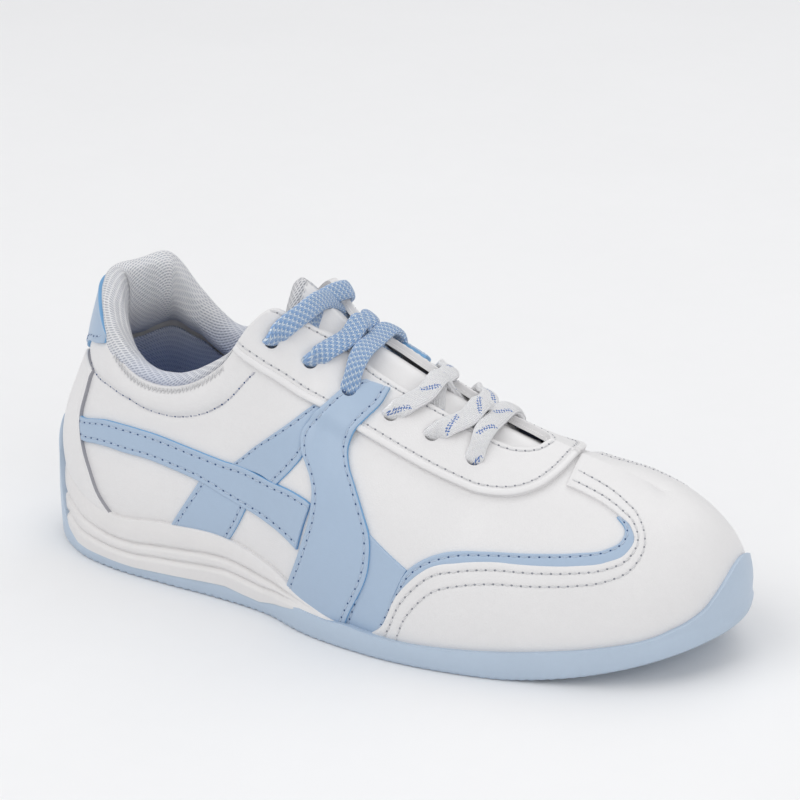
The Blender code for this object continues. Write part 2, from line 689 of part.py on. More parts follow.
def side_panels(side):
    """The crossing blue bands and the white heel piece of one side."""
    tag = "outer" if side < 0 else "inner"
    top, low = inset(BAND_A_TOP), inset(BAND_A_LOW)
    top[-1], low[-1] = (130.4, 0.286), (128.0, 0.119)
    shell("band_heel_" + tag, [ruled(low, top, 18, 4, side)], LAYER_PANEL, PANEL_THICK, BLUE)
    left = [(126.0, 0.598), (112, 0.565), (97.5, 0.525)]
    right = [(130.5, 0.595), (125.6, 0.50), (125.4, 0.43), (118.3, 0.325)]
    shell("band_slant_top_" + tag, [ruled(left, right, 7, 4, side)], LAYER_PANEL, PANEL_THICK, BLUE)
    left = [(84.2, 0.328), (78, 0.17), (71.5, 0.02)]
    right = [(102.5, 0.175), (99, 0.10), (96.4, 0.02)]
    shell("band_slant_low_" + tag, [ruled(left, right, 5, 4, side)], LAYER_PANEL, PANEL_THICK, BLUE)
    left = [(146.5, 0.80), (138.6, 0.74), (133.6, 0.64), (127.6, 0.51), (127.4, 0.43), (132.4, 0.29),
            (130.6, 0.15), (124.9, 0.02)]
    right = [(152.5, 0.82), (149.8, 0.72), (146.9, 0.62), (143.5, 0.55), (145.0, 0.48), (156.8, 0.30),
             (156.2, 0.25), (147.8, 0.02)]
    band = shell("band_cross_" + tag, [ruled(left, right, 20, 5, side, over_eyestay)], LAYER_PANEL,
                 PANEL_THICK, BLUE)
    cut(band, [holes[(side, 3)]])
    left = [(158.0, 0.275), (156.7, 0.22), (152.9, 0.11), (150.2, 0.02)]
    right = [(166.0, 0.205), (163.0, 0.14), (159.6, 0.08), (157.0, 0.02)]
    shell("band_front_" + tag, [ruled(left, right, 5, 3, side)], LAYER_PANEL, PANEL_THICK, BLUE)
    shell("toe_trim_" + tag, [ruled(TRIM_LOW, TRIM_HIGH, 15, 3, side, soft=False)], LAYER_PANEL,
          PANEL_THICK, BLUE)
    seam = [(28, 0.215), (34, 0.15), (40, 0.065), (44, 0.02)]
    back = [(4.8, 0.215), (12, 0.19), (18, 0.12), (22, 0.02)]
    shell("heel_piece_" + tag, [ruled(back, seam, 6, 4, side)], LAYER_PANEL, PANEL_THICK, WHITE)


def toe_cap():
    """White mudguard round the toe with its strip up the middle."""
    low = np.linspace(0, 1, 6)[None, :]
    high = np.linspace(0, 1, 5)[None, :]
    side = np.array([163, 168, 175, 186, 198, 211, 224, 238, 246, CAP_NOSE], float)[:, None]
    strip = np.array([219, 227, 235, 243, 249, CAP_NOSE], float)[:, None]
    front = np.array([CAP_NOSE, 258, 265, 272, 279, 286, TOE], float)[:, None]
    nose_v = height_at(CAP_LOW, CAP_NOSE)
    parts = [
        (side, 0.02 * (1 - low) + height_at(CAP_LOW, side) * low),
        (strip, height_at(CAP_HIGH, strip) * (1 - high) + high),
        (front, 0.02 * (1 - low) + nose_v * low),
        (front, nose_v * (1 - high) + high),
    ]
    sheets = []
    for p, v in parts:
        for hand in (-1, 1):
            sheets.append((hand * p + 0 * v, v + 0 * p, 0 * (p + v)))
    shell("toe_cap", sheets, LAYER_PANEL, PANEL_THICK, WHITE)


eyestay()
heel_tab()
backstay()
side_panels(-1)
side_panels(1)
toe_cap()


# ---- collar pad ------------------------------------------------------------------------
def collar_pad():
    """Padded mesh roll round the ankle opening."""
    p = np.concatenate([np.linspace(-104, -40, 12), np.linspace(-33, 33, 13), np.linspace(40, 104, 12)])
    low = height_at(PAD_LOW, np.abs(p))
    taper = np.interp(np.abs(p), [85, 104], [1.0, 0.55])
    shape = [(low, -2.1, 0), (low * 0.5 + 0.5, -2.1, 0), (0 * p + 1.0, -2.0, 0.6),
             (0 * p + 1.0, -3.4, 2.4), (0 * p + 1.0, -5.8, 1.9), (low * 0.3 + 0.7, -7.6, 0),
             (low * 0.7 + 0.3, -6.6, 0), (low, -3.6, 0)]
    loops = []
    for v, height, lift in shape:
        inward = np.where(height < -2.2, -2.1 + (height + 2.1) * taper, height)
        pts = layer_point(p, v, inward)
        pts[:, 2] += lift * taper
        loops.append(pts)
    ring = np.stack(loops, 1)
    rows, cols = ring.shape[:2]
    faces = []
    for i in range(rows - 1):
        for j in range(cols):
            n = (j + 1) % cols
            faces.append((i * cols + j, i * cols + n, (i + 1) * cols + n, (i + 1) * cols + j))
    faces.append(tuple(range(cols)))
    faces.append(tuple((rows - 1) * cols + j for j in range(cols))[::-1])
    finish("collar_pad", ring.reshape(-1, 3), faces, MESH_WHITE, 0.9, PARTS)


collar_pad()


# ---- tongue ----------------------------------------------------------------------------
def tongue_sheet(depth):
    """Rows of points from the stitched front end to the free top, `depth` below the upper."""
    stations = np.linspace(211, 136, 10)
    rows = []
    for s in stations:
        edge = np.interp(s, [136, 150, 170, 195, 211], [0.73, 0.70, 0.70, 0.74, 0.86])
        v = np.concatenate([np.linspace(edge, 0.96, 4), np.linspace(0.96, edge, 4)])
        p = np.concatenate([-s + np.zeros(4), s + np.zeros(4)])
        rows.append(layer_point(p, v, depth))
    back = rows[-1] - rows[-2]
    back = back.mean(axis=0)
    back = back / np.linalg.norm(back)
    last = rows[-1]
    for k in range(1, 4):
        step = last + back * 6.2 * k
        step[:, 2] -= 0.5 * k
        rows.append(step)
    return np.array(rows)


def tongue_layer(name, depth, thick, colour, roughness):
    """One layer of the tongue."""
    sheet = tongue_sheet(depth)
    rows, cols = sheet.shape[:2]
    thing = finish(name, sheet.reshape(-1, 3), grid_faces(rows, cols), colour, roughness, PARTS)
    outward(thing)
    mod = thing.modifiers.new("Thickness", "SOLIDIFY")
    mod.thickness = thick * MM
    mod.offset = -1
    mod.use_even_offset = False
    mod.use_quality_normals = True
    return thing


hinge("tongue_axis", TONGUE_HINGE, [
    tongue_layer("tongue_shell", TONGUE_TOP, TONGUE_SHELL, WHITE, 0.45),
    tongue_layer("tongue_foam", TONGUE_TOP - TONGUE_SHELL - 0.7, TONGUE_FOAM, (0.82, 0.80, 0.70), 0.95),
    tongue_layer("tongue_lining", TONGUE_TOP - TONGUE_SHELL - TONGUE_FOAM - 2.8, TONGUE_LINER,
                 MESH_WHITE, 0.9),
])


# ---- laces -----------------------------------------------------------------------------
def hole(side, row, height, dv=0.0, dp=0.0):
    """Point on the axis of a lace hole, or beside it."""
    station, v = EYELETS[row - 1]
    if row == 3 and height > 2:
        height = height + 1.3
    return layer_point(side * (station + dp), v + dv, height)[0]


def strand(side, row, other_row):
    """From the top of a hole, over the eyestay, across the throat, under the far edge."""
    rise = 2.6 if side < 0 else -1.5
    station, v = EYELETS[row - 1]
    far_station, far_v = EYELETS[other_row - 1]
    near_edge = height_at(THROAT, station)
    far_edge = height_at(THROAT, far_station)
    onto = layer_point(side * (station * 0.75 + far_station * 0.25), near_edge - 0.01, LACE_OVER)[0]
    under = layer_point(-side * (station * 0.25 + far_station * 0.75), far_edge - 0.01, LACE_UNDER)[0]
    middle = (onto + under) / 2
    middle[2] += rise
    return [hole(side, row, LACE_OVER, 0.035), onto, middle, under, hole(-side, other_row, LACE_UNDER, 0.03)]


def passage(side, row, upward):
    """Through a hole."""
    pts = [hole(side, row, LACE_UNDER + 0.3), hole(side, row, 0.3), hole(side, row, LACE_OVER - 0.4)]
    return pts if upward else pts[::-1]


def tucked(side, row, shares=(0.55, 0.2)):
    """Free end lying under the eyestay behind or below its last hole."""
    dp, dv = (-4.0, -0.17) if row == 1 else (-14.0, -0.085)
    return [hole(side, row, LACE_UNDER - 0.2, dv * k, dp * k) for k in shares]


def bar(row):
    """Straight run over the throat between two holes."""
    station = EYELETS[row - 1][0]
    edge = height_at(THROAT, station) - 0.01
    near = layer_point(-station, edge, LACE_OVER)[0]
    far = layer_point(station, edge, LACE_OVER)[0]
    middle = (near + far) / 2 + np.array([0, 0, 1.6])
    return [hole(-1, row, LACE_OVER, 0.035), near, middle, far, hole(1, row, LACE_OVER, 0.035)]


def lace_route(first, middle, last):
    """One lace over three rows; `last` is the row of the straight bar."""
    pts = tucked(-1, first) + passage(-1, first, True) + strand(-1, first, middle)
    pts += passage(1, middle, True) + strand(1, middle, last)
    pts += passage(-1, last, True) + bar(last) + passage(1, last, False)
    pts += strand(-1, middle, last)[::-1] + passage(-1, middle, False)
    pts += strand(1, first, middle)[::-1] + passage(1, first, False)
    return pts + tucked(1, first)[::-1]


tube("lace_blue", along(lace_route(1, 2, 3), 70), LACE_RADIUS, (0.25, 0.43, 0.72), 0.8)
tube("lace_white", along(lace_route(4, 5, 6), 70), LACE_RADIUS, (0.78, 0.79, 0.82), 0.8)

for aglet_row, lace_name in ((1, "blue"), (4, "white")):
    for aglet_side, side_name in ((-1, "outer"), (1, "inner")):
        ends = tucked(aglet_side, aglet_row, (1.15, 0.61))
        tube("aglet_%s_%s" % (lace_name, side_name), ends, LACE_RADIUS - 0.2, (0.85, 0.87, 0.90), 0.25)
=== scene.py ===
"""Cheerleading trainer for the right foot: the visible model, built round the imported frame.

Laid out as an add-on and run as a script.  Lengths inside the makers are millimetres on the
shoemaker's last; place() turns them into metres in the row frame.
"""
from math import cos, radians, sin

import bmesh
import bpy
import numpy as np
from bpy.props import FloatProperty, FloatVectorProperty, PointerProperty
from mathutils import Matrix, Vector


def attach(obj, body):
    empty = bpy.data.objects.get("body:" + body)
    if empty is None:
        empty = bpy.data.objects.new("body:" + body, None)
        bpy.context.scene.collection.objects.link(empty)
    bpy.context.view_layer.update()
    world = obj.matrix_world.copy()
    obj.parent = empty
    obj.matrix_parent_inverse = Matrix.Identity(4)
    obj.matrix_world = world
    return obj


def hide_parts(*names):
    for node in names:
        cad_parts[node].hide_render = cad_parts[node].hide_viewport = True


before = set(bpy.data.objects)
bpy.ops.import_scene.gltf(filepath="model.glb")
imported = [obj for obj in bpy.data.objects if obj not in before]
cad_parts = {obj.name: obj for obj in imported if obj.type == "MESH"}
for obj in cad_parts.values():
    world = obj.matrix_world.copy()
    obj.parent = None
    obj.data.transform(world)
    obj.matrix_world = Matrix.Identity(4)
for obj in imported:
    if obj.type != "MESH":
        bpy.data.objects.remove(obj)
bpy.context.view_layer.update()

bl_info = {
    "name": "Cheer Shoe",
    "version": (1, 0, 0),
    "blender": (4, 5, 0),
    "location": "View3D > Sidebar > Cheer Shoe",
    "description": "Builds a stitched cheerleading trainer round its packed frame",
    "category": "Add Mesh",
}

MM = 0.001
LAST_ORIGIN = np.array([126.96, -3.35, 0.0])     # the row frame's origin, seen from the last
TOE = 293.0                                      # way round the sole edge from heel to toe tip
BASE_THICK = 1.3
PANEL_TOP = 1.25                                 # outer face of a sewn-on panel
PANEL_FOOT = -0.15                               # its underside, pressed into the base
EYESTAY_RISE = 0.35
WALL_OUT = 3.2
MIDSOLE_END = 152.0
HOLE_RADIUS = 2.5
QUARTER_FRONT = 141.5
SEAM_IN = 1.9                                    # seams run this far inside a panel's edge

# Ribs of the last: station, base x, outer base y z, inner base y z,
# outer top x y z, inner top x y z, share of collar shape
RIBS = np.array([
    [0, 1, 0, 34, 0, 34, 16, 1, 96, 16, 1, 96, 1],
    [16, 6, -15, 32, 14, 33, 21, -11, 92, 21, 12, 96.5, 1],
    [33, 20, -26.5, 25, 25, 27, 30, -20.5, 82, 31, 21.5, 96, 1],
    [48, 34, -31, 21, 29, 23, 40, -24.5, 73.5, 42, 25, 83, 1],
    [71, 57, -33.5, 23, 29.5, 24, 58, -27, 71.5, 57, 27, 72, 1],
    [96, 82, -35, 23.5, 28.5, 24, 77, -26, 82, 76, 26, 80, 0.95],
    [118, 103, -38.5, 18, 29.5, 20, 95, -20, 104, 96, 20, 101, 0.5],
    [134, 118, -44.5, 13, 32, 15, 112, 0, 98, 112, 0, 98, 0],
    [152, 135, -48, 9.5, 36, 12, 128, 0, 89.5, 128, 0, 89.5, 0],
    [172, 155, -49.5, 8, 40, 10, 150, 0, 79, 150, 0, 79, 0],
    [195, 178, -47.5, 9, 42.5, 10, 174, 1, 68.5, 174, 1, 68.5, 0],
    [218, 200, -42.5, 11, 42, 11.5, 196, 3, 61, 196, 3, 61, 0],
    [238, 219, -36, 13.5, 38.5, 14, 211, 5, 56.5, 211, 5, 56.5, 0],
    [257, 235, -26.5, 16, 31.5, 16, 219, 6, 53.5, 219, 6, 53.5, 0],
    [273, 246, -15, 18, 22, 18, 222, 6, 52, 222, 6, 52, 0],
    [286, 252, -3, 19, 13, 19, 223, 6, 51.5, 223, 6, 51.5, 0],
    [293, 253, 5, 19.5, 5, 19.5, 223, 6, 51.5, 223, 6, 51.5, 0],
], float)

# Outlines as (station, v), the same on both sides
THROAT = [(118, 1.0), (122, 0.95), (128, 0.89), (144, 0.86), (160, 0.87), (173, 0.885),
          (187, 0.89), (198, 0.90), (204, 0.94), (207, 1.0)]
EYESTAY_LOW = [(103, 1.0), (108.4, 0.86), (117, 0.70), (126.2, 0.61), (135.6, 0.60), (149.8, 0.62),
               (165, 0.635), (184, 0.65), (196, 0.665), (204.4, 0.70), (211, 0.768), (215.2, 0.86),
               (218.5, 1.0)]
EYELETS = [(117.6, 0.846), (128.3, 0.745), (143.7, 0.722), (159.3, 0.75), (172.7, 0.775),
           (187.1, 0.776)]
PAD_LOW = [(0, 0.60), (22.6, 0.668), (37.4, 0.775), (49.2, 0.835), (62.8, 0.828), (72.2, 0.812),
           (85.8, 0.80), (98, 0.795), (112, 0.765)]
TAB_LOW = [(0, 0.60), (8, 0.64), (14, 0.742), (24, 0.86), (31, 0.955)]
BAND_A_TOP = [(5, 0.34), (15, 0.355), (25.8, 0.412), (33, 0.51), (40.2, 0.60), (52.6, 0.684), (62, 0.69),
              (71, 0.66), (86.2, 0.564), (100.6, 0.44), (117, 0.305), (136.4, 0.29)]
BAND_A_LOW = [(5, 0.215), (17, 0.235), (30.2, 0.312), (37, 0.39), (43.6, 0.452), (57.4, 0.50),
              (72.6, 0.452), (86.6, 0.356), (96.2, 0.268), (106.2, 0.196), (114.6, 0.156), (131, 0.125)]
CAP_EDGE = [(163, 0.0), (166.8, 0.032), (171.8, 0.148), (176, 0.216), (182.4, 0.296), (192.2, 0.352),
            (202.4, 0.384), (216.2, 0.396), (229.8, 0.412), (240.2, 0.437), (246.6, 0.488), (249.5, 0.57),
            (247.3, 0.645), (242.2, 0.692), (234.6, 0.748), (225.2, 0.792), (219, 0.81), (212, 0.83)]
TRIM_HIGH = [(164.8, 0.02), (170.8, 0.144), (174.6, 0.248), (180.2, 0.32), (188, 0.384), (199.8, 0.424),
             (215.2, 0.452), (228.8, 0.476), (239.2, 0.504), (244.4, 0.556), (245.6, 0.62), (241.2, 0.688)]


# ---- the surface of the last ---------------------------------------------------------------
def rib_table():
    """Ribs in order round the sole edge, with ghost ribs past the toe so it closes smoothly."""
    outer = np.c_[-RIBS[:, 0], RIBS[:, 1:4], RIBS[:, 6:9], RIBS[:, 12]][::-1]
    inner = np.c_[RIBS[:, 0], RIBS[:, 1], RIBS[:, 4:6], RIBS[:, 9:12], RIBS[:, 12]]
    before = inner[-3:-1].copy()
    before[:, 0] -= 2 * TOE
    after = outer[1:3].copy()
    after[:, 0] += 2 * TOE
    return np.vstack([before, outer, inner[1:], after])


TABLE = rib_table()


def smooth(table, t):
    """Cubic Hermite curve through the table's rows, slopes taken from the neighbours."""
    knots, values = table[:, 0], table[:, 1:]
    i = np.clip(np.searchsorted(knots, t, side="right") - 1, 1, len(knots) - 3)
    step = np.diff(knots)
    slope = np.diff(values, axis=0) / step[:, None]
    tangent = np.zeros_like(values)
    tangent[1:-1] = slope[:-1] * step[1:, None] + slope[1:] * step[:-1, None]
    tangent[1:-1] /= (step[1:] + step[:-1])[:, None]
    h = step[i][:, None]
    q = ((t - knots[i]) / step[i])[:, None]
    a = (1 + 2 * q) * (1 - q) ** 2 * values[i] + q * (1 - q) ** 2 * h * tangent[i]
    return a + q * q * (3 - 2 * q) * values[i + 1] + q * q * (q - 1) * h * tangent[i + 1]


def last_point(p, v):
    """Cubic Bezier from the sole edge (v 0) to the top line (v 1) of the rib at station p."""
    rows = smooth(TABLE, p)
    v = v[:, None]
    base, top, collar = rows[:, :3], rows[:, 3:6], rows[:, 6:7].clip(0, 1)
    across = (base - top) * [1, 1, 0]
    rise = (top - base)[:, 2:3]
    reach = np.linalg.norm(across, axis=1, keepdims=True)
    out = across / np.maximum(reach, 1e-6)
    up = np.array([0, 0, 1.0])
    toe = np.clip((np.abs(p)[:, None] - 190) / 50, 0, 1)
    fall = 0.30 * (1 - toe) + 0.02 * toe
    low = base + up * rise * (0.52 - 0.19 * collar) + out * (3 - toe - 1.5 * collar)
    high_foot = top + 0.60 * across - up * fall * reach
    high_collar = top - 0.42 * rise * up + out
    high = high_foot * (1 - collar) + high_collar * collar
    return ((1 - v) ** 3 * base + 3 * v * (1 - v) ** 2 * low
            + 3 * v * v * (1 - v) * high + v ** 3 * top)


def side_normal(p, v):
    """Outward direction: cross product of small steps along both parameters."""
    a = last_point(p + 0.5, v) - last_point(p - 0.5, v)
    b = last_point(p, np.minimum(v + 0.004, 1.0)) - last_point(p, np.maximum(v - 0.004, -0.1))
    n = np.cross(b, a)
    return n / np.maximum(np.linalg.norm(n, axis=1, keepdims=True), 1e-9)


def last_normal(p, v):
    """side_normal(), with both sides blended together along the ridge over the instep."""
    ridge = (v > 0.97) & (np.abs(p) > 130)
    n = side_normal(p, np.where(ridge, 0.97, v))
    held = np.minimum(np.abs(p), 262.0)
    both = side_normal(held, 0 * p + 0.97) + side_normal(-held, 0 * p + 0.97)
    both /= np.linalg.norm(both, axis=1, keepdims=True)
    share = np.clip((v - 0.90) / 0.10, 0, 1)[:, None] * (np.abs(p) > 130)[:, None]
    n = n * (1 - share) + both * share
    return n / np.linalg.norm(n, axis=1, keepdims=True)


def height_at(points, station):
    """v of an outline at a station."""
    pts = np.asarray(points, float)
    return np.interp(station, pts[:, 0], pts[:, 1])


def bell(distance, width):
    """Gaussian bump: one at distance 0, falling to nothing over a few widths."""
    return np.exp(-(distance / width) ** 2)


def relief(p, v):
    """Extra height of the soft upper: the collar bolster, its seam, and slow unevenness."""
    a = np.abs(p)
    low = height_at(PAD_LOW, a)
    q = np.clip((v - low) / (1 - low), 0, 1)
    share = np.clip((110 - a) / 14, 0, 1)
    bolster = 1.5 * np.sin(np.pi * np.clip(q * 1.06, 0, 1)) ** 0.8 * share
    seam = -0.55 * bell((v - low) * 62, 1.1) * share
    slow = 0.10 * np.sin(p * 0.085 + 5 * v) * np.sin(9.0 * v + 0.03 * p)
    slow *= np.clip((TOE - a) / 20, 0, 1) * np.where(a > 112, np.clip((1 - v) / 0.12, 0, 1), 1)
    return bolster + seam + slow


def skin(p, v, height):
    """Points lying `height` mm above the soft upper; the arrays may have any one shape."""
    p, v, height = np.broadcast_arrays(np.asarray(p, float), v, height)
    flat_p, flat_v = p.ravel(), v.ravel()
    high = height.ravel() + relief(flat_p, flat_v)
    pts = last_point(flat_p, flat_v) + high[:, None] * last_normal(flat_p, flat_v)
    return pts.reshape(*p.shape, 3)


def bare(p, v, height):
    """Points `height` mm above the last itself, without the soft relief."""
    p, v, height = np.broadcast_arrays(np.asarray(p, float), v, height)
    pts = last_point(p.ravel(), v.ravel()) + height.ravel()[:, None] * last_normal(p.ravel(), v.ravel())
    return pts.reshape(*p.shape, 3)


def along(points, count, v_scale=70.0):
    """`count` rows spread evenly along the smooth line through a short list of rows."""
    pts = np.asarray(points, float)
    scale = np.ones(pts.shape[1])
    if pts.shape[1] == 2:
        scale = np.array([1, v_scale])
    if pts.shape[1] > 3:
        scale[3:] = 0.01
    run = np.concatenate([[0], np.cumsum(np.linalg.norm(np.diff(pts * scale, axis=0), axis=1))])
    knots = np.concatenate([[-run[1]], run, [2 * run[-1] - run[-2]]])
    table = np.c_[knots, np.vstack([2 * pts[0] - pts[1], pts, 2 * pts[-1] - pts[-2]])]
    fine = smooth(table, np.linspace(0, run[-1], 900))
    gone = np.concatenate([[0], np.cumsum(np.linalg.norm(np.diff(fine * scale, axis=0), axis=1))])
    want = np.linspace(0, gone[-1], count)
    return np.stack([np.interp(want, gone, fine[:, k]) for k in range(pts.shape[1])], 1)


# ---- sole profiles -------------------------------------------------------------------------
def sole_edge(p, out, z):
    """Plan point `out` beyond the sole edge along its plan normal, at height z."""
    p, out, z = np.broadcast_arrays(np.asarray(p, float), out, z)
    flat = p.ravel()
    zero = 0 * flat
    base = last_point(flat, zero)
    step = last_point(flat + 0.5, zero) - last_point(flat - 0.5, zero)
    n = np.stack([-step[:, 1], step[:, 0]], 1)
    n /= np.linalg.norm(n, axis=1, keepdims=True)
    point = base.copy()
    point[:, :2] += n * out.ravel()[:, None]
    point[:, 2] = z.ravel()
    return point.reshape(*p.shape, 3)


def feather_z(p):
    """Height of the line where the upper meets the sole."""
    return last_point(np.ravel(p), 0 * np.ravel(p))[:, 2].reshape(np.shape(p))


def edge_x(p):
    """How far forward the sole edge is at station p."""
    return last_point(np.ravel(p), 0 * np.ravel(p))[:, 0].reshape(np.shape(p))


def ground_z(x):
    """Underside of the sole: flat, turned up a little at the heel and more at the toe."""
    return 13.5 * (np.clip(x - 188, 0, None) / 66) ** 1.6 + 2.0 * (np.clip(14 - x, 0, None) / 14) ** 2


def lip_v(p):
    """How far the rubber climbs over the upper, as v."""
    a = np.abs(p)
    knots = np.array([[170, 0.004], [200, 0.006], [235, 0.008], [252, 0.014], [262, 0.032], [270, 0.068],
                      [275, 0.11], [279, 0.17], [284, 0.24], [289, 0.285], [293, 0.296], [297, 0.29],
                      [301, 0.27]])
    toe = smooth(knots, np.maximum(a, 200.0).ravel()).reshape(np.shape(a))
    heel = np.interp(a, [0, 6, 11, 15, 19, 23], [0.15, 0.135, 0.09, 0.04, 0.012, 0.0])
    return np.where(a > 150, toe, heel)


def wall_z(p):
    """Top of the rubber wall where it stays below the upper."""
    a = np.abs(p)
    wall = np.interp(a, [15, 18, 21, 25, 32, 60, 84, 98, 106, 114, 122, 134, 146, 160, 175, 200],
                     [30, 23, 15, 8.5, 5.4, 5.0, 6.4, 7.4, 6.2, 5.6, 7.4, 9.6, 9.0, 9.8, 12, 30])
    return np.minimum(wall, feather_z(p) + 0.3)


def floor_z(p):
    """Top of the sole inside the upper, where the lasting board lies."""
    share = np.clip((np.abs(p) - 52) / 30, 0, 1)
    return 20.4 * (1 - share) + (feather_z(p) - 0.8) * share


def seat_z(p):
    """Floor inside the rubber cup: low under the midsole wedge, high in front of it."""
    share = np.clip((np.abs(p) - MIDSOLE_END - 1.0) / 3.0, 0, 1)
    return 3.6 * (1 - share) + (feather_z(p) - 0.9) * share


# ---- meshes --------------------------------------------------------------------------------
def place(points):
    """Millimetres on the last as metres in the row frame."""
    return (points - LAST_ORIGIN) * MM


def quads(rows, cols, start=0, wrap_cols=False):
    """Corner numbers of every quad of a rows x cols grid, as one array."""
    k = np.arange(rows * cols).reshape(rows, cols) + start
    if wrap_cols:
        k = np.hstack([k, k[:, :1]])
    return np.stack([k[:-1, :-1], k[:-1, 1:], k[1:, 1:], k[1:, :-1]], -1).reshape(-1, 4)


def end_cap(ring):
    """Quads that close a flat ring of corner numbers, pairing the j-th with the j-th from its end."""
    n = len(ring)
    half = np.arange(n // 2 - 1)
    return np.stack([ring[half], ring[half + 1], ring[n - 2 - half], ring[n - 1 - half]], -1)


WELD = 0.00001              # metres: corners nearer than this are one corner


class Solid:
    """Grids gathered into one mesh: corners, quads, the finish of each quad and cloth coordinates."""

    def __init__(self):
        self.corners, self.faces, self.slots, self.cloth, self.count = [], [], [], [], 0

    def grid(self, points, slot, cloth):
        rows, cols = points.shape[:2]
        faces = quads(rows, cols, self.count, wrap_cols=True)
        self.corners.append(points.reshape(-1, 3))
        self.faces.append(faces)
        self.slots.append(np.broadcast_to(slot, len(faces)).ravel())
        given = np.zeros((rows, cols, 3)) if cloth is None else cloth
        self.cloth.append(given.reshape(-1, 3))
        self.count += rows * cols
        return np.arange(self.count - rows * cols, self.count).reshape(rows, cols)

    def loft(self, rings, slot=0, cloth=None):
        """Closed tube of cross sections: rings[i] is the i-th section, one row of points."""
        numbers = self.grid(rings, slot, cloth)
        for ring in (numbers[0], numbers[-1][::-1]):
            faces = end_cap(ring)
            self.faces.append(faces)
            self.slots.append(np.full(len(faces), np.max(slot)))
        return numbers

    def open_loft(self, rings, joined, caps, slot=None, cloth=None):
        """Like loft(), but leaves out the quads marked in `joined`, where a mirrored half meets."""
        numbers = self.grid(rings, 0, cloth)
        keep = ~joined.ravel()
        self.faces[-1] = self.faces[-1][keep]
        self.slots[-1] = (np.zeros(joined.size, int) if slot is None else slot.ravel())[keep]
        for ring, wanted in ((numbers[0], caps[0]), (numbers[-1][::-1], caps[1])):
            if wanted:
                faces = end_cap(ring)
                self.faces.append(faces)
                self.slots.append(np.full(len(faces), 0 if slot is None else int(np.max(slot))))
        return numbers

    def build(self, name, finishes, body="shoe", stand_for=(), slot=None, sharp=0.9):
        """Mesh object in the row frame, welded, facing outward, riding on its body."""
        corners = place(np.vstack(self.corners))
        faces = np.vstack(self.faces)
        mesh = bpy.data.meshes.new(name)
        mesh.vertices.add(len(corners))
        mesh.vertices.foreach_set("co", corners.astype(np.float32).ravel())
        mesh.loops.add(faces.size)
        mesh.loops.foreach_set("vertex_index", faces.astype(np.int32).ravel())
        mesh.polygons.add(len(faces))
        mesh.polygons.foreach_set("loop_start", np.arange(len(faces), dtype=np.int32) * 4)
        mesh.polygons.foreach_set("loop_total", np.full(len(faces), 4, dtype=np.int32))
        mesh.polygons.foreach_set("material_index", np.concatenate(self.slots).astype(np.int32))
        cloth = mesh.attributes.new("cloth_mm", "FLOAT_VECTOR", "POINT")
        cloth.data.foreach_set("vector", np.vstack(self.cloth).astype(np.float32).ravel())
        mesh.update(calc_edges=True)
        for finish in finishes:
            mesh.materials.append(finish)
        bm = bmesh.new()
        bm.from_mesh(mesh)
        bmesh.ops.remove_doubles(bm, verts=bm.verts, dist=WELD)
        bmesh.ops.dissolve_degenerate(bm, edges=bm.edges, dist=WELD)
        bmesh.ops.recalc_face_normals(bm, faces=bm.faces)
        bm.to_mesh(mesh)
        bm.free()
        mesh.shade_smooth()
        mesh.set_sharp_from_angle(angle=sharp)
        thing = bpy.data.objects.new(name, mesh)
        bpy.context.scene.collection.objects.link(thing)
        if body:
            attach(thing, body)
        if stand_for:
            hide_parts(*stand_for)
        return thing


# ---- panels --------------------------------------------------------------------------------
EDGE_STEPS = np.array([0, 0.1, 0.28, 0.55, 0.95, 1.3, 1.6, 1.9, 2.2, 2.5, 2.9])


def edge_profile(distance, round_over=0.5):
    """Height lost near a panel's edge: a quarter circle of radius round_over."""
    near = np.clip(round_over - distance, 0, round_over)
    return round_over - np.sqrt(np.maximum(round_over ** 2 - near ** 2, 0))


def share_steps(length, inner):
    """Shares 0 to 1 across a width in mm: fine steps at both edges and even ones between.

    length is an array, one width per row; each row gets the same number of steps."""
    length = np.asarray(length, float)[:, None]
    squeeze = np.minimum(1, length / (2.6 * EDGE_STEPS[-1]))
    left = EDGE_STEPS[None] * squeeze / length
    middle = np.linspace(0, 1, inner + 2)[1:-1][None]
    middle = left[:, -1:] + (1 - 2 * left[:, -1:]) * middle
    return np.hstack([left, middle, 1 - left[:, ::-1]])


def flat_height(p, v):
    """No extra height."""
    return 0 * p


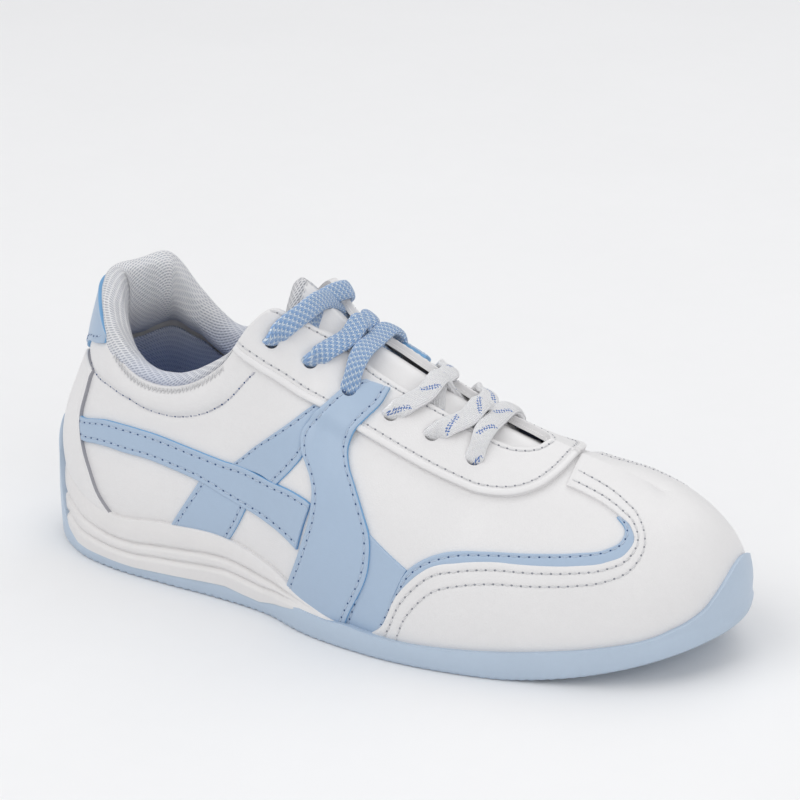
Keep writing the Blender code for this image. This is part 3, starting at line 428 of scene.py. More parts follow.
def panel(low, high, side, step=1.6, inner=8, top=PANEL_TOP, foot=PANEL_FOOT, rise=flat_height,
          seams=(True, True), ends=(True, True)):
    """A leather panel ruled between two outlines.

    Its top is the upper's surface raised by `top`, less a quarter-round at the edges and a
    small furrow along each seam; its underside is flat and its sides are straight."""
    a, b = along(low, 120), along(high, 120)
    run = skin(side * (a[:, 0] + b[:, 0]) / 2, (a[:, 1] + b[:, 1]) / 2, 0)
    gone = np.concatenate([[0], np.cumsum(np.linalg.norm(np.diff(run, axis=0), axis=1))])
    inside = max(4, int(gone[-1] / step) - 4)
    s = share_steps(gone[-1:], inside)[0] * gone[-1]
    a, b = [np.stack([np.interp(s, gone, line[:, k]) for k in (0, 1)], 1) for line in (a, b)]
    width = np.linalg.norm(skin(side * a[:, 0], a[:, 1], 0) - skin(side * b[:, 0], b[:, 1], 0), axis=1)
    w = share_steps(width, inner)
    p = a[:, :1] * (1 - w) + b[:, :1] * w
    v = a[:, 1:] * (1 - w) + b[:, 1:] * w
    from_low = w * width[:, None]
    from_high = (1 - w) * width[:, None]
    from_start = s[:, None] + 0 * w
    from_end = (s[-1] - s)[:, None] + 0 * w
    squeeze = np.minimum(1, width / (2.6 * EDGE_STEPS[-1]))[:, None]
    nearest = np.minimum(from_low, from_high)
    if ends[0]:
        nearest = np.minimum(nearest, from_start)
    if ends[1]:
        nearest = np.minimum(nearest, from_end)
    height = top + rise(p, v) - edge_profile(nearest)
    for distance, sewn in ((from_low, seams[0]), (from_high, seams[1])):
        if sewn:
            height = height - 0.24 * bell(distance - SEAM_IN * squeeze, 0.45)
    made = {"p": side * p, "v": v, "top": height, "foot": foot + rise(p, v), "width": width,
            "w": w, "squeeze": squeeze[:, 0], "side": side}
    return made


def add_panel(solid, made, caps=(True, True)):
    """Adds a panel's closed body: top, underside, and sides that carry the cut-edge finish."""
    top = skin(made["p"], made["v"], made["top"])
    foot = skin(made["p"], made["v"], made["foot"])
    rings = np.concatenate([top, foot[:, ::-1]], axis=1)
    rows, cols = top.shape[:2]
    slot = np.zeros((rows - 1, 2 * cols), int)
    slot[:, [0, cols - 2, cols - 1, 2 * cols - 1]] = 1
    solid.open_loft(rings, np.zeros(slot.shape, bool), caps, slot)


def seam_line(made, edge, inset=SEAM_IN):
    """Points and normals along one edge of a panel, `inset` mm inside it."""
    share = inset * made["squeeze"] / made["width"]
    share = share if edge == "low" else 1 - share
    rows = np.arange(len(share))
    col = [np.interp(share[i], made["w"][i], np.arange(made["w"].shape[1])) for i in rows]
    col = np.array(col)
    k = np.clip(col.astype(int), 0, made["w"].shape[1] - 2)
    f = col - k
    pick = [made[name][rows, k] * (1 - f) + made[name][rows, k + 1] * f for name in ("p", "v", "top")]
    p, v, height = pick
    return skin(p, v, height), last_normal(p, v)


def surface_line(points, side, height, count=160):
    """Points and normals along an outline on the upper, at a height above it."""
    line = along(points, count)
    p, v = side * line[:, 0], line[:, 1]
    return skin(p, v, height), last_normal(p, v)


def resample(points, normals, pitch):
    """The line cut into equal lengths near `pitch`; gives points, normals and directions."""
    gone = np.concatenate([[0], np.cumsum(np.linalg.norm(np.diff(points, axis=0), axis=1))])
    count = max(2, int(round(gone[-1] / pitch)))
    want = (np.arange(count) + 0.5) * gone[-1] / count
    at = [np.stack([np.interp(w, gone, a[:, k]) for k in range(3)], 1)
          for a in (points, normals) for w in (want,)]
    step = np.stack([np.interp(want + 0.3, gone, points[:, k]) - np.interp(want - 0.3, gone, points[:, k])
                     for k in range(3)], 1)
    step /= np.maximum(np.linalg.norm(step, axis=1, keepdims=True), 1e-9)
    n = at[1] - step * np.sum(at[1] * step, axis=1, keepdims=True)
    n /= np.linalg.norm(n, axis=1, keepdims=True)
    return at[0], n, step


def thread_rings(centre, normal, forward, length, radius, arch):
    """Small arched spindles, one per stitch: a circle carried along a parabola, thin at its ends."""
    t = np.array([-1.0, -0.86, -0.45, 0.0, 0.45, 0.86, 1.0])
    girth = radius * np.array([0.25, 0.72, 1.0, 1.0, 1.0, 0.72, 0.25])
    turn = np.linspace(0, 2 * np.pi, 6, endpoint=False)
    across = np.cross(forward, normal)
    lift = arch * (1 - t ** 2) - 0.6 * radius
    spine = (centre[:, None] + forward[:, None] * (t * length / 2)[None, :, None]
             + normal[:, None] * lift[None, :, None])
    ring = (np.cos(turn)[:, None] * across[:, None, None] + np.sin(turn)[:, None] * normal[:, None, None])
    return spine[:, :, None] + ring * girth[None, :, None, None]


def sew(name, lines, thread, pitch=None, length=None, arch=0.28, holes=None):
    """One mesh of stitches along several lines, and one of dark dots between them, painted shade in the
    needle holes.
    """
    look = bpy.context.scene.shoe_stitches
    pitch = pitch or look.pitch / MM
    length = length or pitch - 0.75
    radius = look.thread / MM
    stitches, hole_shade_dots = Solid(), Solid()
    for points, normals in lines:
        at, n, forward = resample(points, normals, pitch)
        for rings in thread_rings(at, n, forward, length, radius, arch):
            stitches.loft(rings)
        if holes is not None:
            # dark spindles between the stitches: painted shade in the needle holes, not thread
            pricks = at[:-1] / 2 + at[1:] / 2
            for rings in thread_rings(pricks, n[:-1], forward[:-1], 0.80, 0.30, 0.24):
                hole_shade_dots.loft(rings)
    stitches.build(name, [thread])
    if holes is not None:
        hole_shade_dots.build(name + "_hole_shade", [holes])


def punch(thing, cutter):
    """Cuts the lace holes out of a finished piece and keeps the result as its mesh."""
    mod = thing.modifiers.new("Lace holes", "BOOLEAN")
    mod.operation = "DIFFERENCE"
    mod.object = cutter
    mod.solver = "EXACT"
    mod.use_hole_tolerant = False
    graph = bpy.context.evaluated_depsgraph_get()
    made = bpy.data.meshes.new_from_object(thing.evaluated_get(graph))
    thing.modifiers.clear()
    old = thing.data
    thing.data = made
    made.name = old.name
    bpy.data.meshes.remove(old)
    made.shade_smooth()
    made.set_sharp_from_angle(angle=0.9)


def hole_cutter(rows, sides=(-1, 1)):
    """Round posts standing in the lace holes of these rows."""
    posts = Solid()
    turn = np.linspace(0, 2 * np.pi, 28, endpoint=False)
    for side in sides:
        for row in rows:
            station, v = EYELETS[row - 1]
            p, vv = np.array([side * station]), np.array([v])
            centre, normal = last_point(p, vv)[0], last_normal(p, vv)[0]
            along_x = np.cross(normal, [0, 0, 1.0])
            along_x /= np.linalg.norm(along_x)
            along_y = np.cross(normal, along_x)
            circle = np.cos(turn)[:, None] * along_x + np.sin(turn)[:, None] * along_y
            rings = centre + circle[None] * HOLE_RADIUS + np.array([-7.0, 7.0])[:, None, None] * normal
            posts.loft(rings)
    return posts.build("lace_hole_posts", [], body=None)


def discard(thing):
    """Removes a helper object and its mesh."""
    mesh = thing.data
    bpy.data.objects.remove(thing, do_unlink=True)
    bpy.data.meshes.remove(mesh)


# ---- finishes ------------------------------------------------------------------------------
class Wiring:
    """Short words for adding nodes to one tree and joining them."""

    def __init__(self, tree):
        self.tree = tree

    def node(self, kind, **settings):
        made = self.tree.nodes.new(kind)
        for key, value in settings.items():
            setattr(made, key, value)
        return made

    def give(self, socket, value):
        if isinstance(value, bpy.types.NodeSocket):
            self.tree.links.new(value, socket)
        elif value is not None:
            socket.default_value = value

    def math(self, operation, a, b=None, c=None, clamp=False):
        made = self.node("ShaderNodeMath", operation=operation, use_clamp=clamp)
        for socket, value in zip(made.inputs, (a, b, c)):
            self.give(socket, value)
        return made.outputs[0]

    def mix(self, factor, a, b):
        made = self.node("ShaderNodeMix", data_type="RGBA")
        for name, value in ((0, factor), (6, a), (7, b)):
            self.give(made.inputs[name], value)
        return made.outputs[2]

    def ramp(self, value, low, high):
        made = self.node("ShaderNodeMapRange", interpolation_type="SMOOTHSTEP")
        for socket, given in zip(made.inputs, (value, low, high)):
            self.give(socket, given)
        return made.outputs[0]

    def noise(self, vector, scale, detail=2.0, roughness=0.5):
        made = self.node("ShaderNodeTexNoise")
        self.give(made.inputs["Vector"], vector)
        self.give(made.inputs["Scale"], scale)
        made.inputs["Detail"].default_value = detail
        made.inputs["Roughness"].default_value = roughness
        return made.outputs["Fac"]


def new_group(name, inputs, outputs):
    """Empty node group with named inputs (name, kind, default) and outputs (name, kind)."""
    group = bpy.data.node_groups.new(name, "ShaderNodeTree")
    for label, kind, default in inputs:
        socket = group.interface.new_socket(name=label, in_out="INPUT", socket_type=kind)
        if default is not None:
            socket.default_value = default
    for label, kind in outputs:
        group.interface.new_socket(name=label, in_out="OUTPUT", socket_type=kind)
    wire = Wiring(group)
    return group, wire, wire.node("NodeGroupInput").outputs, wire.node("NodeGroupOutput").inputs


FLOAT, VECTOR = "NodeSocketFloat", "NodeSocketVector"


def grain_group():
    """Hide grain: pebbles from Voronoi cells, broken up by noise, with pores between them."""
    group, wire, given, out = new_group(
        "Hide Grain", [("Vector", VECTOR, None), ("Pebbles", FLOAT, 900.0), ("Creases", FLOAT, 0.5)],
        [("Height", FLOAT), ("Pores", FLOAT)])
    cells = wire.node("ShaderNodeTexVoronoi", feature="DISTANCE_TO_EDGE")
    wire.give(cells.inputs["Vector"], given["Vector"])
    wire.give(cells.inputs["Scale"], given["Pebbles"])
    pebble = wire.ramp(cells.outputs["Distance"], 0.0, 0.32)
    fine = wire.noise(given["Vector"], wire.math("MULTIPLY", given["Pebbles"], 2.6), 3.0, 0.6)
    broad = wire.noise(given["Vector"], wire.math("MULTIPLY", given["Pebbles"], 0.22), 2.0)
    creased = wire.math("MULTIPLY", broad, given["Creases"])
    height = wire.math("ADD", wire.math("MULTIPLY", pebble, 0.55), wire.math("MULTIPLY", fine, 0.45))
    wire.give(out["Height"], wire.math("ADD", height, creased))
    wire.give(out["Pores"], wire.math("SUBTRACT", 1.0, pebble, clamp=True))
    return group


def drift_group():
    """Slow change of tone over a surface: two sizes of noise around one."""
    group, wire, given, out = new_group(
        "Tone Drift", [("Vector", VECTOR, None), ("Scale", FLOAT, 30.0), ("Amount", FLOAT, 0.1)],
        [("Tone", FLOAT)])
    slow = wire.noise(given["Vector"], given["Scale"], 3.0)
    fast = wire.noise(given["Vector"], wire.math("MULTIPLY", given["Scale"], 11.0), 2.0)
    both = wire.math("ADD", wire.math("MULTIPLY", slow, 0.7), wire.math("MULTIPLY", fast, 0.3))
    swing = wire.math("MULTIPLY", wire.math("SUBTRACT", both, 0.5), given["Amount"])
    wire.give(out["Tone"], wire.math("ADD", 1.0, swing))
    return group


def knit_group():
    """Spacer mesh: slanted rows of lens-shaped openings, every other row shifted by half."""
    group, wire, given, out = new_group(
        "Spacer Mesh", [("Vector", VECTOR, None), ("Length", FLOAT, 2.6), ("Row", FLOAT, 1.5),
                        ("Slant", FLOAT, 0.45)],
        [("Height", FLOAT), ("Opening", FLOAT)])
    parts = wire.node("ShaderNodeSeparateXYZ")
    wire.give(parts.inputs[0], given["Vector"])
    u, v = parts.outputs[0], parts.outputs[1]
    lean = wire.math("ADD", v, wire.math("MULTIPLY", u, given["Slant"]))
    row = wire.math("DIVIDE", lean, given["Row"])
    which = wire.math("FLOOR", row)
    shift = wire.math("MULTIPLY", wire.math("MODULO", wire.math("ADD", which, 1000.0), 2.0), 0.5)
    cell = wire.math("ADD", wire.math("DIVIDE", u, given["Length"]), shift)
    x = wire.math("SUBTRACT", wire.math("FRACT", cell), 0.5)
    y = wire.math("SUBTRACT", wire.math("FRACT", row), 0.5)
    far = wire.math("ADD", wire.math("POWER", wire.math("DIVIDE", wire.math("ABSOLUTE", x), 0.40), 2.0),
                    wire.math("POWER", wire.math("DIVIDE", wire.math("ABSOLUTE", y), 0.26), 2.0))
    opening = wire.ramp(far, 1.15, 0.45)
    ribs = wire.math("MULTIPLY", wire.math("ABSOLUTE", y), 1.6)
    yarn = wire.math("SINE", wire.math("MULTIPLY", cell, 18.85))
    height = wire.math("SUBTRACT", wire.math("ADD", wire.math("MULTIPLY", yarn, 0.08), 0.7), ribs)
    height = wire.math("ADD", wire.math("MULTIPLY", height, -0.3), 0.6)
    wire.give(out["Height"], wire.math("SUBTRACT", height, wire.math("MULTIPLY", opening, 0.9)))
    wire.give(out["Opening"], opening)
    return group


def braid_group():
    """Flat braid: columns of slanted yarns that lean left and right by turns."""
    group, wire, given, out = new_group(
        "Flat Braid", [("Vector", VECTOR, None), ("Column", FLOAT, 0.60), ("Yarn", FLOAT, 0.75)],
        [("Height", FLOAT), ("Yarn Number", FLOAT), ("Column Number", FLOAT)])
    parts = wire.node("ShaderNodeSeparateXYZ")
    wire.give(parts.inputs[0], given["Vector"])
    s, x = parts.outputs[0], parts.outputs[1]
    column = wire.math("ADD", wire.math("DIVIDE", x, given["Column"]), 100.0)
    number = wire.math("FLOOR", column)
    across = wire.math("FRACT", column)
    lean = wire.math("SUBTRACT", wire.math("MULTIPLY", wire.math("MODULO", number, 2.0), 2.0), 1.0)
    slide = wire.math("MULTIPLY", wire.math("MULTIPLY", across, lean), 0.85)
    yarn = wire.math("ADD", wire.math("ADD", wire.math("DIVIDE", s, given["Yarn"]), slide), 500.0)
    round_yarn = wire.math("SINE", wire.math("MULTIPLY", wire.math("FRACT", yarn), 3.1416))
    round_column = wire.math("SINE", wire.math("MULTIPLY", across, 3.1416))
    wire.give(out["Height"], wire.math("MULTIPLY", wire.math("POWER", round_yarn, 0.7), round_column))
    wire.give(out["Yarn Number"], wire.math("FLOOR", yarn))
    wire.give(out["Column Number"], number)
    return group


GROUPS = {}


def shared(name):
    """A node group, built the first time it is asked for."""
    makers = {"grain": grain_group, "drift": drift_group, "knit": knit_group, "braid": braid_group}
    if name not in GROUPS:
        GROUPS[name] = makers[name]()
    return GROUPS[name]


def blank_finish(name):
    """New material: its wiring, its shader and its Object coordinates."""
    mat = bpy.data.materials.new(name)
    mat.use_nodes = True
    wire = Wiring(mat.node_tree)
    shader = mat.node_tree.nodes["Principled BSDF"]
    where = wire.node("ShaderNodeTexCoord").outputs["Object"]
    return mat, wire, shader, where


def use(wire, name, **inputs):
    """Places a shared group and fills its inputs."""
    made = wire.node("ShaderNodeGroup", node_tree=shared(name))
    for key, value in inputs.items():
        wire.give(made.inputs[key.replace("_", " ")], value)
    return made.outputs


def bump(wire, shader, height, depth):
    """Surface relief of `depth` metres."""
    made = wire.node("ShaderNodeBump")
    made.inputs["Distance"].default_value = depth
    wire.give(made.inputs["Height"], height)
    wire.give(shader.inputs["Normal"], made.outputs[0])


def toned(wire, colour, tone):
    """Colour darkened and lightened by a tone around one."""
    factor = wire.math("MULTIPLY", wire.math("SUBTRACT", tone, 0.9), 5.0, clamp=True)
    dark = tuple(0.93 * c for c in colour)
    return wire.mix(factor, (*dark, 1), (*colour, 1))


def leather(name, colour, roughness=0.42, pebbles=1150.0, depth=0.000045, coat=0.0, pore=0.05):
    """Finished leather: pebbled grain, darker pores, tone and gloss that drift slowly."""
    mat, wire, shader, where = blank_finish(name)
    grain = use(wire, "grain", Vector=where, Pebbles=pebbles, Creases=0.6)
    tone = use(wire, "drift", Vector=where, Scale=38.0, Amount=0.30)["Tone"]
    skin_colour = toned(wire, colour, tone)
    shade = tuple(c * 0.80 for c in colour)
    pores = wire.math("MULTIPLY", grain["Pores"], pore)
    wire.give(shader.inputs["Base Color"], wire.mix(pores, skin_colour, (*shade, 1)))
    gloss = wire.math("ADD", wire.math("MULTIPLY", tone, -0.12), roughness + 0.12)
    wire.give(shader.inputs["Roughness"], gloss)
    shader.inputs["Coat Weight"].default_value = coat
    shader.inputs["Coat Roughness"].default_value = 0.35
    bump(wire, shader, grain["Height"], depth)
    return mat


def rubber(name, colour, roughness=0.5, speckle=2600.0, depth=0.00003, pore=0.10):
    """Moulded rubber or foam: fine speckled skin with a few darker specks and slow tone."""
    mat, wire, shader, where = blank_finish(name)
    fine = wire.noise(where, speckle, 2.0, 0.7)
    tone = use(wire, "drift", Vector=where, Scale=60.0, Amount=0.35)["Tone"]
    shade = tuple(c * 0.86 for c in colour)
    specks = wire.math("MULTIPLY", wire.ramp(fine, 0.62, 0.72), pore)
    wire.give(shader.inputs["Base Color"], wire.mix(specks, toned(wire, colour, tone), (*shade, 1)))
    gloss = wire.math("ADD", wire.math("MULTIPLY", fine, 0.16), roughness - 0.08)
    wire.give(shader.inputs["Roughness"], gloss)
    bump(wire, shader, fine, depth)
    return mat


def cloth_place(wire):
    """The piece's own cloth coordinates in mm: along, across, side."""
    return wire.node("ShaderNodeAttribute", attribute_name="cloth_mm").outputs["Vector"]


def spacer_mesh(name, yarn_top, yarn_low_shaded, slit_top, slit_low_shaded, fade, length=2.4, row=1.35, slant=0.5):
    """Airy mesh whose yarn and openings turn from the top colours to the low ones with height (metres); the
    darker low colours are partly the mesh's own colour and partly painted shade lower inside the shoe.
    """
    mat, wire, shader, where = blank_finish(name)
    knit = use(wire, "knit", Vector=cloth_place(wire), Length=length, Row=row, Slant=slant)
    parts = wire.node("ShaderNodeSeparateXYZ")
    wire.give(parts.inputs[0], where)
    # painted shade: yarn and openings darken lower down inside the shoe
    shade_by_height = wire.ramp(parts.outputs[2], *fade)
    yarn = wire.mix(shade_by_height, (*yarn_low_shaded, 1), (*yarn_top, 1))
    slit = wire.mix(shade_by_height, (*slit_low_shaded, 1), (*slit_top, 1))
    tone = use(wire, "drift", Vector=where, Scale=90.0, Amount=0.5)["Tone"]
    body = wire.mix(wire.math("MULTIPLY", wire.math("SUBTRACT", 1.1, tone), 1.5, clamp=True), yarn, slit)
    wire.give(shader.inputs["Base Color"], wire.mix(wire.math("MULTIPLY", knit["Opening"], 0.85), body, slit))
    wire.give(shader.inputs["Roughness"], wire.math("ADD", wire.math("MULTIPLY", knit["Opening"], 0.1), 0.8))
    shader.inputs["Sheen Weight"].default_value = 0.25
    bump(wire, shader, knit["Height"], 0.0004)
    return mat


def braid(name, colours, dash=None):
    """Braided lace: three yarn colours by turns, and for the white lace a dashed tracer yarn; painted shade
    darkens the low parts between the yarns.
    """
    mat, wire, shader, _ = blank_finish(name)
    place_on = cloth_place(wire)
    woven = use(wire, "braid", Vector=place_on)
    turn = wire.math("MODULO", wire.math("ADD", woven["Yarn Number"], woven["Column Number"]), 3.0)
    first = wire.mix(wire.math("LESS_THAN", turn, 0.5), (*colours[1], 1), (*colours[0], 1))
    colour = wire.mix(wire.math("GREATER_THAN", turn, 1.5), first, (*colours[2], 1))
    if dash:
        parts = wire.node("ShaderNodeSeparateXYZ")
        wire.give(parts.inputs[0], place_on)
        long_way = wire.math("FRACT", wire.math("DIVIDE", wire.math("ADD", parts.outputs[0], 300.0), 13.0))
        traced = wire.math("LESS_THAN", long_way, 0.5)
        column = wire.math("COMPARE", woven["Column Number"], wire.math(
            "ADD", 97.0, wire.math("FLOOR", wire.math("MULTIPLY", long_way, 13.0))), 1.6)
        every = wire.math("LESS_THAN", wire.math("MODULO", woven["Yarn Number"], 2.0), 0.5)
        mask = wire.math("MULTIPLY", wire.math("MULTIPLY", traced, column), every)
        colour = wire.mix(mask, colour, (*dash, 1))
    # painted shade: where the braid relief is low, the colour mixes toward a dark tint
    shade = wire.ramp(woven["Height"], 0.0, 0.5)
    groove_shade = wire.mix(0.45, colour, (0.02, 0.06, 0.16, 1)) if not dash else wire.mix(
        0.07, colour, (0.40, 0.43, 0.50, 1))
    wire.give(shader.inputs["Base Color"], wire.mix(shade, groove_shade, colour))
    wire.give(shader.inputs["Roughness"], wire.math("ADD", wire.math("MULTIPLY", shade, -0.1), 0.85))
    shader.inputs["Sheen Weight"].default_value = 0.3
    bump(wire, shader, woven["Height"], 0.00028)
    return mat


def thread_finish(name, colour):
    """Twisted sewing thread: fine slanted ridges and uneven dye."""
    mat, wire, shader, where = blank_finish(name)
    parts = wire.node("ShaderNodeSeparateXYZ")
    wire.give(parts.inputs[0], where)
    lean = wire.math("ADD", wire.math("ADD", parts.outputs[0], parts.outputs[1]), parts.outputs[2])
    ply = wire.math("SINE", wire.math("MULTIPLY", lean, 16000.0))
    tone = use(wire, "drift", Vector=where, Scale=400.0, Amount=0.6)["Tone"]
    wire.give(shader.inputs["Base Color"], toned(wire, colour, tone))
    wire.give(shader.inputs["Roughness"], wire.math("ADD", wire.math("MULTIPLY", ply, 0.05), 0.6))
    bump(wire, shader, ply, 0.00004)
    return mat


def board_finish(name, colour):
    """Pressed fibre or open foam: cloudy tone and a rough nap."""
    mat, wire, shader, where = blank_finish(name)
    fibres = wire.noise(where, 1500.0, 5.0, 0.7)
    tone = use(wire, "drift", Vector=where, Scale=120.0, Amount=0.7)["Tone"]
    wire.give(shader.inputs["Base Color"], toned(wire, colour, tone))
    wire.give(shader.inputs["Roughness"], wire.math("ADD", wire.math("MULTIPLY", fibres, 0.2), 0.75))
    bump(wire, shader, fibres, 0.00012)
    return mat


FINISHES = {}


def finish_of(name):
    """One of the shoe's finishes, made the first time it is asked for."""
    look = bpy.context.scene.shoe_colours
    white, blue = tuple(look.white_leather), tuple(look.blue_leather)
    makers = {
        "white": lambda: leather("white_leather", white),
        "white_smooth": lambda: leather("white_smooth_leather", tuple(1.02 * c for c in white), 0.36,
                                        1900.0, 0.00002, 0.1, 0.02),
        "white_edge": lambda: rubber("white_cut_edge", tuple(0.93 * c for c in white), 0.6),
        "blue": lambda: leather("blue_leather", blue, 0.40, 1700.0, 0.00002, 0.12, 0.04),
        "blue_edge": lambda: rubber("blue_painted_edge", tuple(look.painted_edge), 0.4),
        "rubber": lambda: rubber("sky_rubber", tuple(look.rubber), 0.42, 2200.0, 0.00003),
        "foam": lambda: rubber("white_sole_foam", tuple(look.sole_foam), 0.5, 1800.0, 0.00004, 0.06),
        # collar and heel lining: white mesh at the top turning blue lower down, the blue partly the mesh's
        # own and partly painted shade
        "collar": lambda: spacer_mesh("collar_mesh", (0.80, 0.80, 0.81), (0.40, 0.48, 0.70),
                                      (0.47, 0.49, 0.55), (0.17, 0.25, 0.50), (0.056, 0.084), 2.0, 1.05,
                                      0.55),
        "binding": lambda: spacer_mesh("binding_mesh", (0.74, 0.74, 0.75), (0.70, 0.70, 0.72),
                                       (0.30, 0.31, 0.34), (0.28, 0.29, 0.33), (0.0, 0.2), 1.7, 0.95, 0.35),
        "insole": lambda: spacer_mesh("insole_cloth", (0.22, 0.32, 0.58), (0.20, 0.29, 0.55),
                                      (0.08, 0.13, 0.32), (0.07, 0.12, 0.30), (0.0, 0.05), 1.9, 1.1, 0.0),
        "thread_white": lambda: thread_finish("white_thread", (0.78, 0.78, 0.79)),
        "thread_grey": lambda: thread_finish("grey_thread", (0.56, 0.57, 0.63)),
        "thread_blue": lambda: thread_finish("pale_blue_thread", (0.52, 0.62, 0.76)),
        # needle-hole finishes: dark colours that stand in for the shade inside each hole
        "navy_hole_shade": lambda: thread_finish("navy_needle_hole_shade", (0.03, 0.08, 0.22)),
        "grey_hole_shade": lambda: thread_finish("grey_needle_hole_shade", (0.30, 0.31, 0.35)),
        "seam_grey": lambda: rubber("grey_cut_edge", (0.34, 0.34, 0.37), 0.6),
        "lace_blue": lambda: braid("blue_braid", ((0.25, 0.43, 0.75), (0.37, 0.55, 0.83),
                                                  (0.72, 0.83, 0.95))),
        "lace_white": lambda: braid("white_braid", ((0.90, 0.90, 0.92), (0.92, 0.92, 0.93),
                                                    (0.94, 0.94, 0.95)),
                                    (0.08, 0.20, 0.55)),
        "board": lambda: board_finish("fibre_board", (0.62, 0.58, 0.50)),
        "cushion": lambda: board_finish("cushion_foam", (0.78, 0.76, 0.66)),
        "aglet": lambda: rubber("aglet_film", (0.82, 0.84, 0.87), 0.2, 900.0, 0.00001),
    }
    if name not in FINISHES:
        FINISHES[name] = makers[name]()
    return FINISHES[name]


def dress(node, finish):
    """Gives a CAD node one of the shoe's finishes."""
    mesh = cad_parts[node].data
    mesh.materials.clear()
    mesh.materials.append(finish_of(finish))


# ---- settings ------------------------------------------------------------------------------
def length_setting(label, text, default):
    """A length in metres."""
    return FloatProperty(name=label, description=text, default=default, unit="LENGTH", precision=5)


def colour_setting(label, text, default):
    """A linear colour."""
    return FloatVectorProperty(name=label, description=text, default=default, subtype="COLOR",
                               size=3, min=0.0, max=1.0)


class ShoeColours(bpy.types.PropertyGroup):
    """Colours of the shoe's main materials."""
    white_leather: colour_setting("White leather", "Colour of the base upper", (0.80, 0.79, 0.79))
    blue_leather: colour_setting("Blue leather", "Colour of the bands", (0.40, 0.51, 0.655))
    painted_edge: colour_setting("Painted edge", "Colour of the bands' cut edges", (0.17, 0.38, 0.64))
    rubber: colour_setting("Rubber", "Colour of the outsole", (0.47, 0.565, 0.68))
    sole_foam: colour_setting("Sole foam", "Colour of the midsole", (0.77, 0.755, 0.75))


class ShoeStitches(bpy.types.PropertyGroup):
    """How the seams are sewn."""
    pitch: length_setting("Pitch", "Length from one needle hole to the next", 0.0030)
    thread: length_setting("Thread", "Radius of the sewing thread", 0.00031)


class ShoeSole(bpy.types.PropertyGroup):
    """Relief of the sole."""
    tread_depth: length_setting("Tread depth", "Depth of the grooves underneath", 0.0011)
    tread_pitch: length_setting("Tread pitch", "Length from one tread groove to the next", 0.0064)
    groove_depth: length_setting("Groove depth", "Depth of the grooves round the midsole", 0.0011)


class ShoeCollar(bpy.types.PropertyGroup):
    """Shape of the padded collar."""
    roll: length_setting("Roll", "How high the padding stands over the top line", 0.0034)
    padding: length_setting("Padding", "How far the padding reaches inward", 0.0088)


class ShoeLaces(bpy.types.PropertyGroup):
    """Size of the laces."""
    width: length_setting("Width", "Width of the flat braid", 0.0070)
    thickness: length_setting("Thickness", "Thickness of the flat braid", 0.0029)


class ShoeStage(bpy.types.PropertyGroup):
    """Camera and light."""
    distance: length_setting("Distance", "From the camera to the point it looks at", 0.9106)
    lens: FloatProperty(name="Lens", description="Focal length in mm", default=118.98, min=20, max=300)
    azimuth: FloatProperty(name="Azimuth", description="Angle round the shoe", default=radians(26.548),
                           subtype="ANGLE")
    elevation: FloatProperty(name="Elevation", description="Angle above the floor",
                             default=radians(22.992), subtype="ANGLE")
    roll: FloatProperty(name="Roll", description="Tilt of the camera", default=radians(-0.272),
                        subtype="ANGLE")
    key_light: FloatProperty(name="Key light", description="Power of the large soft light", default=13.6,
                             unit="POWER")


# ---- makers --------------------------------------------------------------------------------
class SHOE_OT_stage(bpy.types.Operator):
    """Camera, floor and soft studio light"""
    bl_idname = "shoe.stage"
    bl_label = "Stage"

    def execute(self, context):
        look = context.scene.shoe_stage
        a, e, r = look.azimuth, look.elevation, look.roll
        back = np.array([sin(a) * cos(e), -cos(a) * cos(e), sin(e)])
        right = np.cross(-back, [0, 0, 1.0])
        right /= np.linalg.norm(right)
        up = np.cross(right, -back)
        right, up = right * cos(r) + up * sin(r), up * cos(r) - right * sin(r)
        aim = np.array([-0.00190, 0.01678, 0.06353])
        data = bpy.data.cameras.new("camera")
        data.lens = look.lens
        data.sensor_width = 36.0
        data.clip_end = 50.0
        camera = bpy.data.objects.new("camera", data)
        turn = Matrix((right, up, back)).transposed().to_4x4()
        camera.matrix_world = Matrix.Translation(Vector(aim + back * look.distance)) @ turn
        context.scene.collection.objects.link(camera)
        context.scene.camera = camera
        self.floor(context)
        self.light(context, "key", (-0.9, -0.9, 1.5), 1.6, look.key_light)
        self.light(context, "fill", (1.3, -0.8, 0.9), 1.4, look.key_light * 0.50)
        self.light(context, "top", (0.2, 0.9, 1.5), 1.6, look.key_light * 0.62)
        world = bpy.data.worlds.new("studio")
        world.use_nodes = True
        world.node_tree.nodes["Background"].inputs[0].default_value = (0.93, 0.935, 0.95, 1)
        world.node_tree.nodes["Background"].inputs[1].default_value = 0.60
        context.scene.world = world
        context.scene.view_settings.view_transform = "Standard"
        return {"FINISHED"}

    def floor(self, context):
        """Pale floor: a wide flat grid with a faint mottle."""
        t = np.linspace(-3.0, 3.0, 13)
        x, y = np.meshgrid(t, t, indexing="ij")
        mesh = bpy.data.meshes.new("floor")
        mesh.from_pydata(np.stack([x, y, 0 * x], -1).reshape(-1, 3).tolist(), [],
                         quads(13, 13)[:, ::-1].tolist())
        mat, wire, shader, where = blank_finish("pale_floor")
        tone = use(wire, "drift", Vector=where, Scale=9.0, Amount=0.12)["Tone"]
        wire.give(shader.inputs["Base Color"], toned(wire, (0.90, 0.90, 0.905), tone))
        wire.give(shader.inputs["Roughness"], wire.math("MULTIPLY", tone, 0.6))
        mesh.materials.append(mat)
        floor = bpy.data.objects.new("floor", mesh)
        context.scene.collection.objects.link(floor)

    def light(self, context, name, where, size, power):
        """Square soft light aimed at the shoe."""
        data = bpy.data.lights.new(name, "AREA")
        data.shape = "SQUARE"
        data.size = size
        data.energy = power
        lamp = bpy.data.objects.new(name, data)
        lamp.location = where
        lamp.rotation_euler = (-Vector(where)).to_track_quat("-Z", "Y").to_euler()
        context.scene.collection.objects.link(lamp)


def paired(solid, left, right):
    """Body of revolution-like sections: the outer profile joined to the inner one, row by row."""
    rings = np.concatenate([left, right[:, ::-1]], axis=1)
    return solid.loft(rings)


